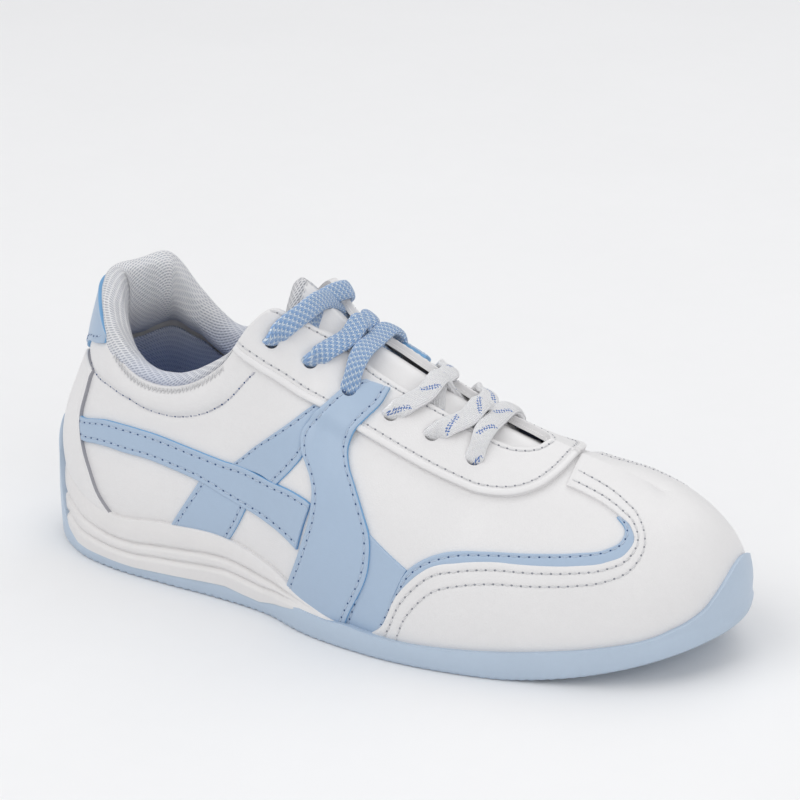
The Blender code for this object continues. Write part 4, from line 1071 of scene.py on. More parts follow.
class SHOE_OT_outsole(bpy.types.Operator):
    """Rubber cup with its tread, its wavy wall and the wraps over heel and toe"""
    bl_idname = "shoe.outsole"
    bl_label = "Outsole"

    def execute(self, context):
        look = context.scene.shoe_sole
        s = np.concatenate([np.linspace(0, 30, 41), np.linspace(30.8, 262, 290), np.linspace(262.6, TOE, 52)])
        sides = [self.profile(side * s, look) for side in (-1, 1)]
        solid = Solid()
        paired(solid, *sides)
        solid.build("cupped_outsole", [finish_of("rubber")], stand_for=["outsole"], slot="rubber_blue",
                    sharp=0.6)
        return {"FINISHED"}

    def profile(self, p, look):
        """Half sections from the middle underneath, round the wall and lip, to the seat inside."""
        v_lip = lip_v(p)
        k = np.clip(v_lip / 0.035, 0, 1)
        k = (k * k * (3 - 2 * k))[:, None, None]
        wall = wall_z(p)
        ground = ground_z(edge_x(p))
        notch = 0.45 * np.clip(np.sin(2 * np.pi * p / 3.3), -0.2, 1)
        notch *= np.interp(np.abs(p), [24, 40, 125, 150, 230, 262], [0, 1, 1, 0.35, 0.8, 0])
        out = np.array([WALL_OUT - 1.7, WALL_OUT - 0.9, WALL_OUT - 0.35, WALL_OUT - 0.1, WALL_OUT])
        rise = np.array([0.0, 0.25, 0.8, 1.6, 2.4])
        fade = np.array([1.0, 1.0, 0.8, 0.3, 0.0])
        foot = sole_edge(p[:, None], out[None] - notch[:, None] * fade, ground[:, None] + rise)
        t = np.linspace(0, 1, 9)[1:]
        swell = 0.35 * np.sin(np.pi * t)
        straight = sole_edge(p[:, None], WALL_OUT + swell,
                             ground[:, None] + 2.4 + (wall - ground - 2.4)[:, None] * t)
        outer = 2.9 + 0 * p
        feather = feather_z(p)
        climb_v = np.clip((t[None] - 0.45) / 0.55, 0, 1) * v_lip[:, None]
        climb = bare(p[:, None], climb_v, outer[:, None])
        low_z = (ground[:, None] + 2.4) + (feather - ground - 2.4)[:, None] * np.clip(t / 0.45, 0, 1)
        low_part = sole_edge(p[:, None], 2.9 + 0.3 * (1 - t) + 0.9 * np.sin(np.pi * np.clip(t / 0.45, 0, 1)) *
                             0.4, low_z)
        blend = np.clip((t - 0.25) / 0.35, 0, 1)[None, :, None]
        climbing = low_part * (1 - blend) + climb * blend
        side = straight * (1 - k) + climbing * k
        rim_in = np.array([0.35, 1.2, 3.3])
        rim_drop = np.array([-0.25, -0.1, 0.25])
        rim = sole_edge(p[:, None], WALL_OUT - rim_in, wall[:, None] - rim_drop - 0.25)
        rim_climb = bare(p[:, None], v_lip[:, None] + np.array([0.004, 0.003, -0.004]), 2.9 - rim_in)
        rim = rim * (1 - k) + rim_climb * k
        seat = np.minimum(seat_z(p), np.minimum(wall, feather) - 0.5)
        inner = sole_edge(p[:, None], np.array([WALL_OUT - 3.6, -5.0]), seat[:, None])
        under_edge = foot[:, 0]
        n = len(p)
        mirror = sole_edge(-p, np.full(n, WALL_OUT - 1.7), ground)
        centre = (under_edge + mirror) / 2
        w = np.linspace(0, 1, 27)[:-1][None, :, None]
        under = centre[:, None] * (1 - w) + under_edge[:, None] * w
        under[..., 2] = ground_z(under[..., 0]) + self.tread(under[..., 0], under[..., 1], look)
        seat_mirror = sole_edge(-p, np.full(n, -5.0), seat)
        seat_centre = ((inner[:, 1] + seat_mirror) / 2)[:, None]
        return np.concatenate([under, foot, side, rim, inner, seat_centre], axis=1)

    def tread(self, x, y, look):
        """Chevron grooves: a square-ish wave along the sole whose phase zigzags across it."""
        zigzag = np.abs(((y + 3.35) / 15.0) % 2 - 1) * 6.0
        wave = np.sin(2 * np.pi * (x + zigzag) / (look.tread_pitch / MM))
        flex = bell(x - 186, 1.4) + bell(x - 168, 1.4) + bell(x - 203, 1.4)
        depth = look.tread_depth / MM
        return depth * np.clip((wave - 0.45) / 0.25, 0, 1) + 0.9 * np.clip(flex, 0, 1)


class SHOE_OT_midsole(bpy.types.Operator):
    """Foam wedge with its curved grooves"""
    bl_idname = "shoe.midsole"
    bl_label = "Midsole"

    def execute(self, context):
        depth = context.scene.shoe_sole.groove_depth / MM
        s = np.concatenate([np.linspace(0, 30, 30), np.linspace(31, MIDSOLE_END + 1, 96)])
        solid = Solid()
        paired(solid, self.profile(-s, depth), self.profile(s, depth))
        solid.build("grooved_midsole", [finish_of("foam")], stand_for=["midsole"], slot="midsole_white")
        return {"FINISHED"}

    def profile(self, p, depth):
        """Side of three bulges between two creases, then the flat top and the seat."""
        a = np.abs(p)
        low = np.minimum(wall_z(p) - 0.8, feather_z(p) - 0.6)
        low = np.where(a < 24, np.minimum(low, 6 + 0 * a), low)
        top = feather_z(p) - 0.1
        thin = np.clip((a - 138) / 14, 0, 1) ** 1.5
        top = top * (1 - thin) + (low + 0.25) * thin
        q = np.linspace(0, 1, 40)[None, :]
        flare = np.interp(a, [0, 12, 26, 60, 120, 152], [1.4, 1.6, 2.6, 3.2, 3.1, 2.7])[:, None]
        crease_a = np.interp(a, [0, 30, 60, 110, 135, 152], [0.55, 0.54, 0.50, 0.60, 0.62, 0.66])[:, None]
        crease_b = np.interp(a, [0, 30, 60, 110, 135, 152], [0.28, 0.27, 0.26, 0.34, 0.38, 0.42])[:, None]
        span = (top - low)[:, None]
        cut = bell((q - crease_a) * span, 0.75) + bell((q - crease_b) * span, 0.75)
        below_a, below_b = [np.clip((crease - q) * span / 1.2, 0, 1) for crease in (crease_a, crease_b)]
        step = 0.55 * (below_a + below_b)
        bulge = 0.5 * np.sin(np.pi * np.clip((q - crease_a) / (1 - crease_a), 0, 1))
        slope = -1.6 * q ** 2
        lively = np.interp(span, [2, 8], [0, 1])
        out = flare + slope + lively * (bulge + 0.6 * step - depth * cut)
        z = low[:, None] + span * q
        side = sole_edge(p[:, None], out, z)
        roll_out = out[:, -1:] - np.array([[0.35, 0.9, 3.2]])
        roll_z = top[:, None] + np.array([[0.12, 0.1, 0.0]]) * (1 - thin)[:, None]
        roll = sole_edge(p[:, None], roll_out, roll_z)
        seat = np.minimum(floor_z(p), top - 0.05)
        inside = sole_edge(p[:, None], np.array([-1.8, -5.0])[None] + 0 * a[:, None], seat[:, None])
        under = sole_edge(p[:, None], np.array([-5.0, 0.8])[None] + 0 * a[:, None],
                          np.minimum(seat_z(p) + 0.4, low - 0.1)[:, None])
        return np.concatenate([under, side, roll, inside], axis=1)


class SHOE_OT_upper(bpy.types.Operator):
    """Base upper: two quarters and the vamp, with their lace holes"""
    bl_idname = "shoe.upper"
    bl_label = "Base upper"

    def execute(self, context):
        for side, tag in ((-1, "outer"), (1, "inner")):
            s = np.concatenate([[0.25], np.linspace(1.5, QUARTER_FRONT, 96)])
            top = np.where(s <= 118, 0.999, height_at(THROAT, s) + 0.01)
            thing = self.sheet("leather_quarter_" + tag, [(side, s)], top, 76, "quarter_" + tag)
            posts = hole_cutter((1, 2), (side,))
            punch(thing, posts)
            discard(posts)
        s = np.concatenate([np.linspace(QUARTER_FRONT + 0.1, 206.5, 44), np.linspace(207, TOE, 74)])
        top = np.where(s < 207, height_at(THROAT, s) + 0.01, 1.0)
        thing = self.sheet("leather_vamp", [(-1, s), (1, s)], np.minimum(top, 1.0), 60, "vamp")
        posts = hole_cutter((3, 4, 5, 6))
        punch(thing, posts)
        discard(posts)
        return {"FINISHED"}

    def sheet(self, name, halves, top, cols, node):
        """Leather between the sole edge and `top`; halves meet along the ridge where top is 1."""
        solid = Solid()
        for side, s in halves:
            w = np.linspace(0, 1, cols)[None, :]
            v = -0.02 * (1 - w) + top[:, None] * w
            p = side * s[:, None] + 0 * v
            outer = skin(p, v, -0.12 * bell((1 - w) * 60, 0.8))
            inner = skin(p, v, -BASE_THICK)
            joined = np.zeros((len(s) - 1, 2 * cols), bool)
            if len(halves) == 2:
                joined[:, cols - 1] = (top[:-1] > 0.9999) & (top[1:] > 0.9999)
            caps = (True, len(halves) == 1)
            solid.open_loft(np.concatenate([outer, inner[:, ::-1]], axis=1), joined, caps)
        return solid.build(name, [finish_of("white")], stand_for=[node], slot="leather_white", sharp=1.0)


def closed_sheet(name, halves, low, top, cols, outer, inner, finish, node, slot, merge=False):
    """Sheet from v = low to v = top, between heights outer and inner; mirrored halves may merge."""
    solid = Solid()
    for p_line in halves:
        w = np.linspace(0, 1, cols)[None, :]
        v = low[:, None] * (1 - w) + top[:, None] * w
        p = p_line[:, None] + 0 * v
        rings = np.concatenate([bare(p, v, outer), bare(p, v, inner)[:, ::-1]], axis=1)
        joined = np.zeros((len(p_line) - 1, 2 * cols), bool)
        if merge:
            joined[:, cols - 1] = (top[:-1] > 0.9999) & (top[1:] > 0.9999)
        cloth = np.stack([p, v * 70, 0 * p], -1)
        cloth = np.concatenate([cloth, cloth[:, ::-1]], axis=1)
        solid.open_loft(rings, joined, (True, not merge), cloth=cloth)
    return solid.build(name, [finish_of(finish)], stand_for=[node], slot=slot)


class SHOE_OT_lining(bpy.types.Operator):
    """Textile linings, and finishes for the boards hidden inside"""
    bl_idname = "shoe.lining"
    bl_label = "Linings"

    def execute(self, context):
        p = np.linspace(-134, 134, 150)
        a = np.abs(p)
        top = np.where(a < 108, height_at(PAD_LOW, a) - 0.035, 0.0)
        top = np.where(a >= 108, np.interp(a, [108, 134], [height_at(PAD_LOW, 108) - 0.16, 0.56]), top)
        top = np.minimum(top, np.interp(a, [96, 108], [0.80, 0.62]))
        closed_sheet("heel_lining_cloth", [p], 0.045 + 0 * p, top, 36, -3.4, -4.3, "collar",
                     "quarter_lining", "lining_blue")
        s = np.concatenate([np.linspace(135, 209, 40), np.linspace(211, TOE, 44)])
        top = np.interp(s, [135, 165, 203, 209, 213], [0.56, 0.58, 0.62, 0.78, 1.0])
        closed_sheet("forefoot_lining_cloth", [-s, s], 0.07 + 0 * s, top, 34, -3.4, -4.3, "binding",
                     "vamp_lining", "mesh_white", merge=True)
        for node in ("lasting_board", "heel_counter", "toe_puff"):
            dress(node, "board")
        return {"FINISHED"}


class SHOE_OT_insole(bpy.types.Operator):
    """Removable cushioned insole with a dished heel"""
    bl_idname = "shoe.insole"
    bl_label = "Insole"

    def execute(self, context):
        s = np.concatenate([np.linspace(0, 30, 28), np.linspace(31, 262, 130), np.linspace(263, TOE, 30)])
        solid = Solid()
        halves = [self.profile(side * s) for side in (-1, 1)]
        cloth = np.stack([halves[0][..., 0], halves[0][..., 1], 0 * halves[0][..., 0]], -1)
        other = np.stack([halves[1][..., 0], halves[1][..., 1], 0 * halves[1][..., 0]], -1)
        rings = np.concatenate([halves[0], halves[1][:, ::-1]], axis=1)
        solid.loft(rings, 0, np.concatenate([cloth, other[:, ::-1]], axis=1))
        thing = solid.build("cushioned_insole", [finish_of("insole")], body="insole", stand_for=["insole"],
                            slot="lining_blue")
        return {"FINISHED"}

    def profile(self, p):
        """Half section: middle of the top, dished up to a rounded rim, then the underside."""
        base = floor_z(p)
        out = -5.4
        edge = sole_edge(p, out + 0 * p, base)
        mirror = sole_edge(-p, out + 0 * p, base)
        centre = (edge + mirror) / 2
        w = np.linspace(0, 1, 16)[None, :, None]
        line = centre[:, None] * (1 - w) + edge[:, None] * w
        near = (1 - w[..., 0]) * np.linalg.norm(edge - centre, axis=1)[:, None]
        dish = np.interp(np.abs(p), [0, 90, 150, TOE], [1.0, 0.9, 0.3, 0.2])[:, None] * bell(near, 7.0)
        top = line.copy()
        top[..., 2] = base[:, None] + 4.4 + 0.7 * dish - edge_profile(near, 0.9)
        under = line[:, ::-1].copy()
        under[..., 2] = base[:, None] + 2.1 + 0.2 * bell(near[:, ::-1], 1.0)
        return np.concatenate([top, under], axis=1)


class SHOE_OT_collar(bpy.types.Operator):
    """Padded mesh roll round the ankle opening"""
    bl_idname = "shoe.collar"
    bl_label = "Collar pad"

    def execute(self, context):
        look = context.scene.shoe_collar
        p = np.concatenate([np.linspace(-108, -34, 70), np.linspace(-33, 33, 70), np.linspace(34, 108, 70)])
        a = np.abs(p)
        low = height_at(PAD_LOW, a)
        taper = np.interp(a, [86, 106], [1.0, 0.35])
        lift = look.roll / MM * taper
        deep = look.padding / MM * (0.45 + 0.55 * taper)
        wide = bell(a - 34, 13.0)
        one, none = 1 + 0 * p, 0 * p
        shape = [(low, -1.5 + none, none), (low * 0.5 + 0.5, -1.5 + none, none),
                 (0.985 - 0.06 * wide, -1.35 + 1.9 * wide, none),
                 (one, -0.75 + 1.3 * wide, 0.45 * lift), (one, -1.5 + 0.9 * wide, 0.85 * lift + 0.8 * wide),
                 (one, -2.9 + 0.3 * wide, 1.12 * lift + 1.1 * wide), (one, -0.55 * deep - 0.5, 1.05 * lift),
                 (one, -0.88 * deep, 0.55 * lift), (low * 0.14 + 0.86, -1.06 * deep, none),
                 (low * 0.45 + 0.55, -1.12 * deep, none), (low * 0.8 + 0.2, -0.86 * deep, none),
                 (low, -0.45 * deep, none)]
        loops = []
        for v, height, rise in shape:
            pts = bare(p, v, height)
            pts[:, 2] += rise
            loops.append(pts)
        ring = self.rounded(np.stack(loops, 1), 4)
        gone = np.cumsum(np.linalg.norm(np.diff(ring, axis=1, prepend=ring[:, :1]), axis=2), axis=1)
        cloth = np.stack([p[:, None] * 0.95 + 0 * gone, gone, 0 * gone], -1)
        wave = 0.10 * np.sin(p * 0.5)[:, None] * np.sin(gone * 0.3)
        ring[..., 2] += wave
        solid = Solid()
        solid.loft(ring, 0, cloth)
        thing = solid.build("collar_roll", [finish_of("collar")], stand_for=["collar_pad"],
                            slot="mesh_white", sharp=1.6)
        self.stitch()
        return {"FINISHED"}

    def rounded(self, ring, times):
        """Closed Catmull-Rom curve through each section's points, `times` points per span."""
        before, after, beyond = np.roll(ring, 1, 1), np.roll(ring, -1, 1), np.roll(ring, -2, 1)
        out = []
        for q in np.arange(times) / times:
            out.append(0.5 * (2 * ring + (after - before) * q + (2 * before - 5 * ring + 4 * after - beyond)
                              * q * q + (3 * ring - before - 3 * after + beyond) * q ** 3))
        return np.stack(out, 2).reshape(len(ring), -1, 3)

    def stitch(self):
        """Zigzag over the top line and the seam under the bolster."""
        lines, zigzags = [], Solid()
        for side in (-1, 1):
            low = [(14, 0.642)] + [(a, v) for a, v in PAD_LOW if 20 < a < 113]
            lines.append(surface_line(low, side, 0.05))
            a = np.arange(38, 99, 1.0)
            v = np.where(np.arange(len(a)) % 2, 0.993, 0.962)
            pts = skin(side * a, v, np.where(v > 0.98, 0.5, 0.25))
            n = last_normal(side * a, v)
            at, step = (pts[:-1] + pts[1:]) / 2, pts[1:] - pts[:-1]
            long = np.linalg.norm(step, axis=1, keepdims=True)
            step = step / long
            n = n[:-1] - step * np.sum(n[:-1] * step, axis=1, keepdims=True)
            n /= np.linalg.norm(n, axis=1, keepdims=True)
            for rings in thread_rings(at, n, step, float(long.mean()), 0.20, 0.12):
                zigzags.loft(rings)
        sew("bolster_stitches", lines, finish_of("thread_grey"), pitch=3.4, length=2.4, arch=0.2,
            holes=finish_of("navy_hole_shade"))
        zigzags.build("collar_zigzag", [finish_of("thread_white")])


def piece(name, low, high, side, node, colour, edges=("low", "high"), punched=(),
          edge_finish=None, **options):
    """One sewn-on leather panel; returns the lines of its seams."""
    made = panel(low, high, side, seams=("low" in edges, "high" in edges), **options)
    solid = Solid()
    add_panel(solid, made)
    thing = solid.build(name, [finish_of(colour), finish_of(edge_finish or colour + "_edge")],
                        stand_for=[node], slot="leather_" + colour)
    if punched:
        posts = hole_cutter(punched, (side,))
        punch(thing, posts)
        discard(posts)
    return [seam_line(made, edge) for edge in edges]


def over_eyestay(p, v):
    """Extra height where the cross band climbs onto the eyestay."""
    return 1.5 * np.clip((v - height_at(EYESTAY_LOW, np.abs(p)) + 0.06) / 0.05, 0, 1)


class SHOE_OT_eyestay(bpy.types.Operator):
    """White U with twelve lace holes, its raised binding and two rows of stitches"""
    bl_idname = "shoe.eyestay"
    bl_label = "Eyestay"

    def execute(self, context):
        solid, binding, lines = Solid(), Solid(), []
        for side in (-1, 1):
            made = panel(EYESTAY_LOW, THROAT, side, step=1.5, inner=12, top=PANEL_TOP + EYESTAY_RISE,
                         seams=(False, True), ends=(True, False))
            add_panel(solid, made, caps=(True, False))
            lines += [seam_line(made, "low", 3.4), seam_line(made, "high", 1.7)]
            at, n, forward = resample(*seam_line(made, "low", 1.2), 1.6)
            across = np.cross(forward, n)
            turn = np.linspace(0, 2 * np.pi, 12, endpoint=False)
            rings = at[:, None] + 1.25 * np.cos(turn)[None, :, None] * across[:, None] \
                + (0.62 * np.sin(turn) + 0.05)[None, :, None] * n[:, None]
            binding.loft(rings)
        thing = solid.build("lace_stay", [finish_of("white"), finish_of("white_edge")], stand_for=["eyestay"],
                            slot="leather_white")
        posts = hole_cutter((1, 2, 3, 4, 5, 6))
        punch(thing, posts)
        discard(posts)
        binding.build("lace_stay_binding", [finish_of("white_smooth")], sharp=1.6)
        sew("lace_stay_stitches", lines, finish_of("thread_white"), holes=finish_of("grey_hole_shade"))
        return {"FINISHED"}


class SHOE_OT_bands(bpy.types.Operator):
    """Crossing blue bands with painted edges, pale blue stitches and painted shade in their needle holes"""
    bl_idname = "shoe.bands"
    bl_label = "Blue bands"

    def execute(self, context):
        for side, tag in ((-1, "outer"), (1, "inner")):
            lines = piece("heel_band_" + tag, BAND_A_LOW, BAND_A_TOP, side, "band_heel_" + tag, "blue")
            left = [(133.5, 0.62), (130.2, 0.576), (124.6, 0.512), (116.6, 0.464), (108.8, 0.452),
                    (98.5, 0.435)]
            right = [(137.5, 0.63), (135.6, 0.588), (132.6, 0.516), (131.0, 0.42), (127.0, 0.36),
                     (119.5, 0.285)]
            lines += piece("upper_slant_band_" + tag, left, right, side, "band_slant_top_" + tag, "blue",
                           top=0.85)
            left = [(87.0, 0.385), (81.0, 0.212), (74.0, -0.01)]
            right = [(107.0, 0.215), (103.0, 0.12), (98.0, -0.01)]
            lines += piece("lower_slant_band_" + tag, left, right, side, "band_slant_low_" + tag, "blue",
                           top=0.85)
            left = [(148.5, 0.80), (143.2, 0.744), (137.4, 0.648), (132.2, 0.548), (129.6, 0.484),
                    (130.4, 0.44), (133.6, 0.395), (136.6, 0.34), (136.8, 0.27), (133.5, 0.15),
                    (126.0, -0.01)]
            right = [(156.8, 0.832), (155.6, 0.76), (152.4, 0.68), (149.2, 0.60), (148.2, 0.545),
                     (149.4, 0.50), (153.2, 0.44), (157.2, 0.375), (161.0, 0.30), (161.6, 0.22),
                     (152.5, -0.01)]
            lines += piece("cross_band_" + tag, left, right, side, "band_cross_" + tag, "blue",
                           punched=(3,), rise=over_eyestay, step=1.2, top=PANEL_TOP + 0.4)
            left = [(158.5, 0.325), (158.0, 0.22), (156.0, 0.11), (151.5, -0.01)]
            right = [(174.8, 0.255), (172.8, 0.20), (169.8, 0.11), (165.5, -0.01)]
            lines += piece("front_band_" + tag, left, right, side, "band_front_" + tag, "blue",
                           edges=("low",), top=0.80)
            sew("band_stitches_" + tag, lines, finish_of("thread_blue"), pitch=3.3, length=2.4,
                holes=finish_of("navy_hole_shade"))
        return {"FINISHED"}


HEEL_HEIGHT = 62.0          # mm up the heel from the sole edge to the top line


class SHOE_OT_heel(bpy.types.Operator):
    """Heel tab, backstay strip and the white pieces beside the rubber wrap"""
    bl_idname = "shoe.heel"
    bl_label = "Heel pieces"

    def execute(self, context):
        p = np.linspace(-31, 31, 75)
        low = height_at(TAB_LOW, np.abs(p))
        self.patch("heel_pull_tab", p, low, 0.999 + 0 * p, 44, "blue", "heel_tab")
        p = np.linspace(-4.4, 4.4, 15)
        self.patch("heel_strip", p, 0.17 + 0 * p, 0.60 + 0 * p, 60, "white", "backstay")
        lines = []
        for side in (-1, 1):
            edge = [(a, v + 0.035) for a, v in TAB_LOW if a < 31] + [(28.5, 0.965)]
            lines.append(surface_line(sorted(edge), side, PANEL_TOP))
        sew("heel_tab_stitches", lines, finish_of("thread_blue"), holes=finish_of("navy_hole_shade"))
        lines = []
        for side, tag in ((-1, "outer"), (1, "inner")):
            seam = [(22.8, 0.67), (24, 0.55), (25.8, 0.412), (30.2, 0.312), (37.4, 0.196), (43, 0.072),
                    (48.5, -0.01)]
            back = [(4.6, 0.60), (4.6, 0.50), (4.8, 0.40), (6, 0.28), (11, 0.18), (18, 0.08), (22, -0.01)]
            piece("white_heel_piece_" + tag, back, seam, side, "heel_piece_" + tag, "white",
                  edges=("high",), edge_finish="seam_grey", top=PANEL_TOP + 0.35)
            v = np.linspace(0.20, 0.57, 60)
            q = side * 3.2 + 0 * v
            lines.append((skin(q, v, PANEL_TOP), last_normal(q, v)))
        sew("heel_piece_stitches", lines, finish_of("thread_white"), holes=finish_of("grey_hole_shade"))
        return {"FINISHED"}

    def patch(self, name, p, low, top, cols, colour, node):
        """Panel across the heel seam, edges rounded by distance to its outline."""
        w = share_steps((top - low) * HEEL_HEIGHT, cols - 22)
        v = low[:, None] * (1 - w) + top[:, None] * w
        pp = p[:, None] + 0 * v
        near = np.minimum(v - low[:, None], top[:, None] - v) * HEEL_HEIGHT
        near = np.minimum(near, (p[-1] - np.abs(pp)) * 0.8)
        outer = skin(pp, v, PANEL_TOP - edge_profile(near))
        foot = skin(pp, v, PANEL_FOOT)
        rings = np.concatenate([outer, foot[:, ::-1]], axis=1)
        n = v.shape[1]
        slot = np.zeros((len(p) - 1, 2 * n), int)
        slot[:, [0, n - 2, n - 1, 2 * n - 1]] = 1
        solid = Solid()
        solid.open_loft(rings, np.zeros(slot.shape, bool), (True, True), slot)
        solid.build(name, [finish_of(colour), finish_of(colour + "_edge")], stand_for=[node],
                    slot="leather_" + colour)


class SHOE_OT_toe(bpy.types.Operator):
    """Toe cap with its tongue up the vamp, and the blue trims above it"""
    bl_idname = "shoe.toe"
    bl_label = "Toe"

    def execute(self, context):
        edge = along(CAP_EDGE, 420, 48.0)
        nose = int(np.argmax(edge[:, 0]))
        cap_nose, nose_v = edge[nose]
        self.edge = edge * [1, 48]
        solid = Solid()
        low = (1 - (1 - np.linspace(0, 1, 46)) ** 1.35)[None, :]
        high = (np.linspace(0, 1, 42) ** 1.35)[None, :]
        ease = np.sin(np.linspace(0, 1, 90) * np.pi / 2)[:, None]
        side = 163 + (cap_nose - 163) * ease
        strip = 219 + (cap_nose - 219) * ease[::2]
        strip[-1] = cap_nose
        front = np.linspace(cap_nose, TOE, 60)[:, None]
        low_v = np.interp(side, edge[:nose + 1, 0], edge[:nose + 1, 1])
        high_v = np.interp(strip, edge[nose:, 0][::-1], edge[nose:, 1][::-1])
        for hand in (-1, 1):
            for p, v, seam, caps in (
                    (side, -0.02 * (1 - low) + low_v * low, (), (True, False)),
                    (strip, high_v * (1 - high) + high, ("top",), (True, False)),
                    (front, -0.02 * (1 - low) + nose_v * low, ("top",), (False, False)),
                    (front, nose_v * (1 - high) + high, ("top", "low"), (False, False))):
                p, v = np.broadcast_arrays(p, v)
                near = self.inside(p, v)
                height = PANEL_TOP + 0.1 - edge_profile(near) - 0.2 * (bell(near - 1.7, 0.4)
                                                                       + bell(near - 4.6, 0.4))
                rings = np.concatenate([skin(hand * p, v, height), skin(hand * p, v, PANEL_FOOT)[:, ::-1]],
                                       axis=1)
                n = p.shape[1]
                joined = np.zeros((len(p) - 1, 2 * n), bool)
                joined[:, n - 1] = "top" in seam
                joined[:, 2 * n - 1] = "low" in seam
                solid.open_loft(rings, joined, caps)
        solid.build("toe_mudguard", [finish_of("white")], stand_for=["toe_cap"], slot="leather_white")
        white, blue = [], []
        under = self.offset(edge[(edge[:, 0] > 165.5) & (np.arange(len(edge)) < np.argmax(
            (edge[:, 0] < 242.2) & (np.arange(len(edge)) > nose)))], 1.6)
        for hand, tag in ((-1, "outer"), (1, "inner")):
            for inset in (1.7, 4.6):
                row = self.offset(edge[12:-18], inset)
                white.append(surface_line(row[::6], hand, PANEL_TOP - 0.02, 300))
            blue += piece("toe_trim_band_" + tag, under[::8], TRIM_HIGH, hand, "toe_trim_" + tag, "blue",
                          edges=("high",), step=1.2, inner=5, top=0.92)
        sew("toe_cap_stitches", white, finish_of("thread_white"), holes=finish_of("grey_hole_shade"))
        sew("toe_trim_stitches", blue, finish_of("thread_blue"), pitch=3.3, length=2.4,
            holes=finish_of("navy_hole_shade"))
        return {"FINISHED"}

    def offset(self, line, distance):
        """The line moved to its right by a distance in mm."""
        flat = line * [1, 48]
        step = np.gradient(flat, axis=0)
        step /= np.linalg.norm(step, axis=1, keepdims=True)
        return (flat + distance * np.stack([step[:, 1], -step[:, 0]], 1)) / [1, 48]

    def inside(self, p, v):
        """Distance in mm from the cap's free edge."""
        at = np.stack([p.ravel(), v.ravel() * 48], 1)
        gap = np.sqrt(((at[:, None] - self.edge[None, ::2]) ** 2).sum(-1)).min(1).reshape(p.shape)
        return np.minimum(gap, np.where(v > 0.7, np.abs(p - 219), 99))


class SHOE_OT_tongue(bpy.types.Operator):
    """Padded tongue: smooth leather face, foam, textile back and a mesh binding"""
    bl_idname = "shoe.tongue"
    bl_label = "Tongue"

    def execute(self, context):
        shell = self.layer("tongue_face", 0.0, -1.2, 1.0, "white_smooth", "tongue_shell", "leather_white")
        foam = self.layer("tongue_cushion", -1.5, -4.6, 0.95, "cushion", "tongue_foam", "foam")
        back = self.layer("tongue_back", -4.8, -5.6, 0.97, "binding", "tongue_lining", "mesh_white")
        grid = self.sheet(-0.8)
        normal = self.normals(grid)
        rim = np.concatenate([grid[:, 0], grid[-1, 1:-1], grid[::-1, -1]])
        up = np.concatenate([normal[:, 0], normal[-1, 1:-1], normal[::-1, -1]])
        at, n, forward = resample(rim, up, 1.5)
        across = np.cross(forward, n)
        turn = np.linspace(0, 2 * np.pi, 18, endpoint=False)
        rings = (at[:, None] + 2.5 * np.cos(turn)[None, :, None] * across[:, None]
                 + (3.1 * np.sin(turn) - 2.0)[None, :, None] * n[:, None])
        run = np.arange(len(at))[:, None] * 1.5 + 0 * turn
        cloth = np.stack([run, np.broadcast_to(turn * 2.8, run.shape), 0 * run], -1)
        solid = Solid()
        solid.loft(rings, 0, cloth)
        thing = solid.build("tongue_binding", [finish_of("binding")], body="tongue", sharp=1.6)
        inner = self.sheet(0.1, 0.86)
        lines = [(inner[:, 0], self.normals(inner)[:, 0]), (inner[:, -1], self.normals(inner)[:, -1]),
                 (inner[-2, :], self.normals(inner)[-2, :])]
        look = Solid()
        for points, normals in lines:
            at, n, forward = resample(points, normals, 3.0)
            for rings in thread_rings(at, n, forward, 2.3, 0.3, 0.25):
                look.loft(rings)
        look.build("tongue_stitches", [finish_of("thread_white")], body="tongue")
        return {"FINISHED"}

    def sheet(self, depth, share=1.0):
        """Rows of points from the stitched front to the free top, `depth` off the padded face."""
        s = np.linspace(211, 136, 60)
        edge = np.interp(s, [136, 150, 170, 195, 211], [0.73, 0.70, 0.70, 0.74, 0.86])
        w = np.linspace(-1, 1, 41)[None, :]
        v = 0.985 - (0.985 - edge[:, None]) * np.abs(w * share)
        p = np.where(w < 0, -1, 1) * s[:, None]
        high = depth - np.interp(s, [136, 160, 211], [3.7, 3.2, 2.9])
        rows = bare(p, v, high[:, None])
        middle = (bare(-s, 0.985 + 0 * s, high) + bare(s, 0.985 + 0 * s, high)) / 2
        rows[:, 20] = middle
        back = (rows[-1] - rows[-4]).mean(axis=0)
        back /= np.linalg.norm(back)
        steps = np.linspace(0, 18.6, 15)[1:]
        more = rows[-1][None] + back * steps[:, None, None]
        more[..., 2] += 0.24 * steps[:, None]
        round_off = np.clip((steps - 9) / 9.6, 0, 1)[:, None, None]
        pull = 1 - 0.22 * round_off ** 2
        centre = more[:, 20:21]
        more = centre + (more - centre) * pull
        grid = np.concatenate([rows, more])
        swell = 0.9 * (1 - np.abs(w) ** 6) * np.clip(np.arange(len(grid)) / 30, 0, 1)[:, None]
        grid[..., 2] += swell
        return grid

    def normals(self, grid):
        """Unit normals of a grid by differences along both ways."""
        n = np.cross(np.gradient(grid, axis=0), np.gradient(grid, axis=1))
        n /= np.maximum(np.linalg.norm(n, axis=-1, keepdims=True), 1e-9)
        return n * np.where(n[..., 2:] < 0, -1, 1)

    def layer(self, name, top, foot, share, finish, node, slot):
        """One layer between two depths."""
        upper, lower = self.sheet(top, share), self.sheet(foot, share)
        rings = np.concatenate([upper, lower[:, ::-1]], axis=1)
        run = np.arange(len(upper))[:, None] * 1.5 + np.zeros(rings.shape[1])[None]
        cloth = np.stack([run, np.arange(rings.shape[1])[None] * 1.2 + 0 * run, 0 * run], -1)
        solid = Solid()
        solid.loft(rings, 0, cloth)
        return solid.build(name, [finish_of(finish)], body="tongue", stand_for=[node], slot=slot)


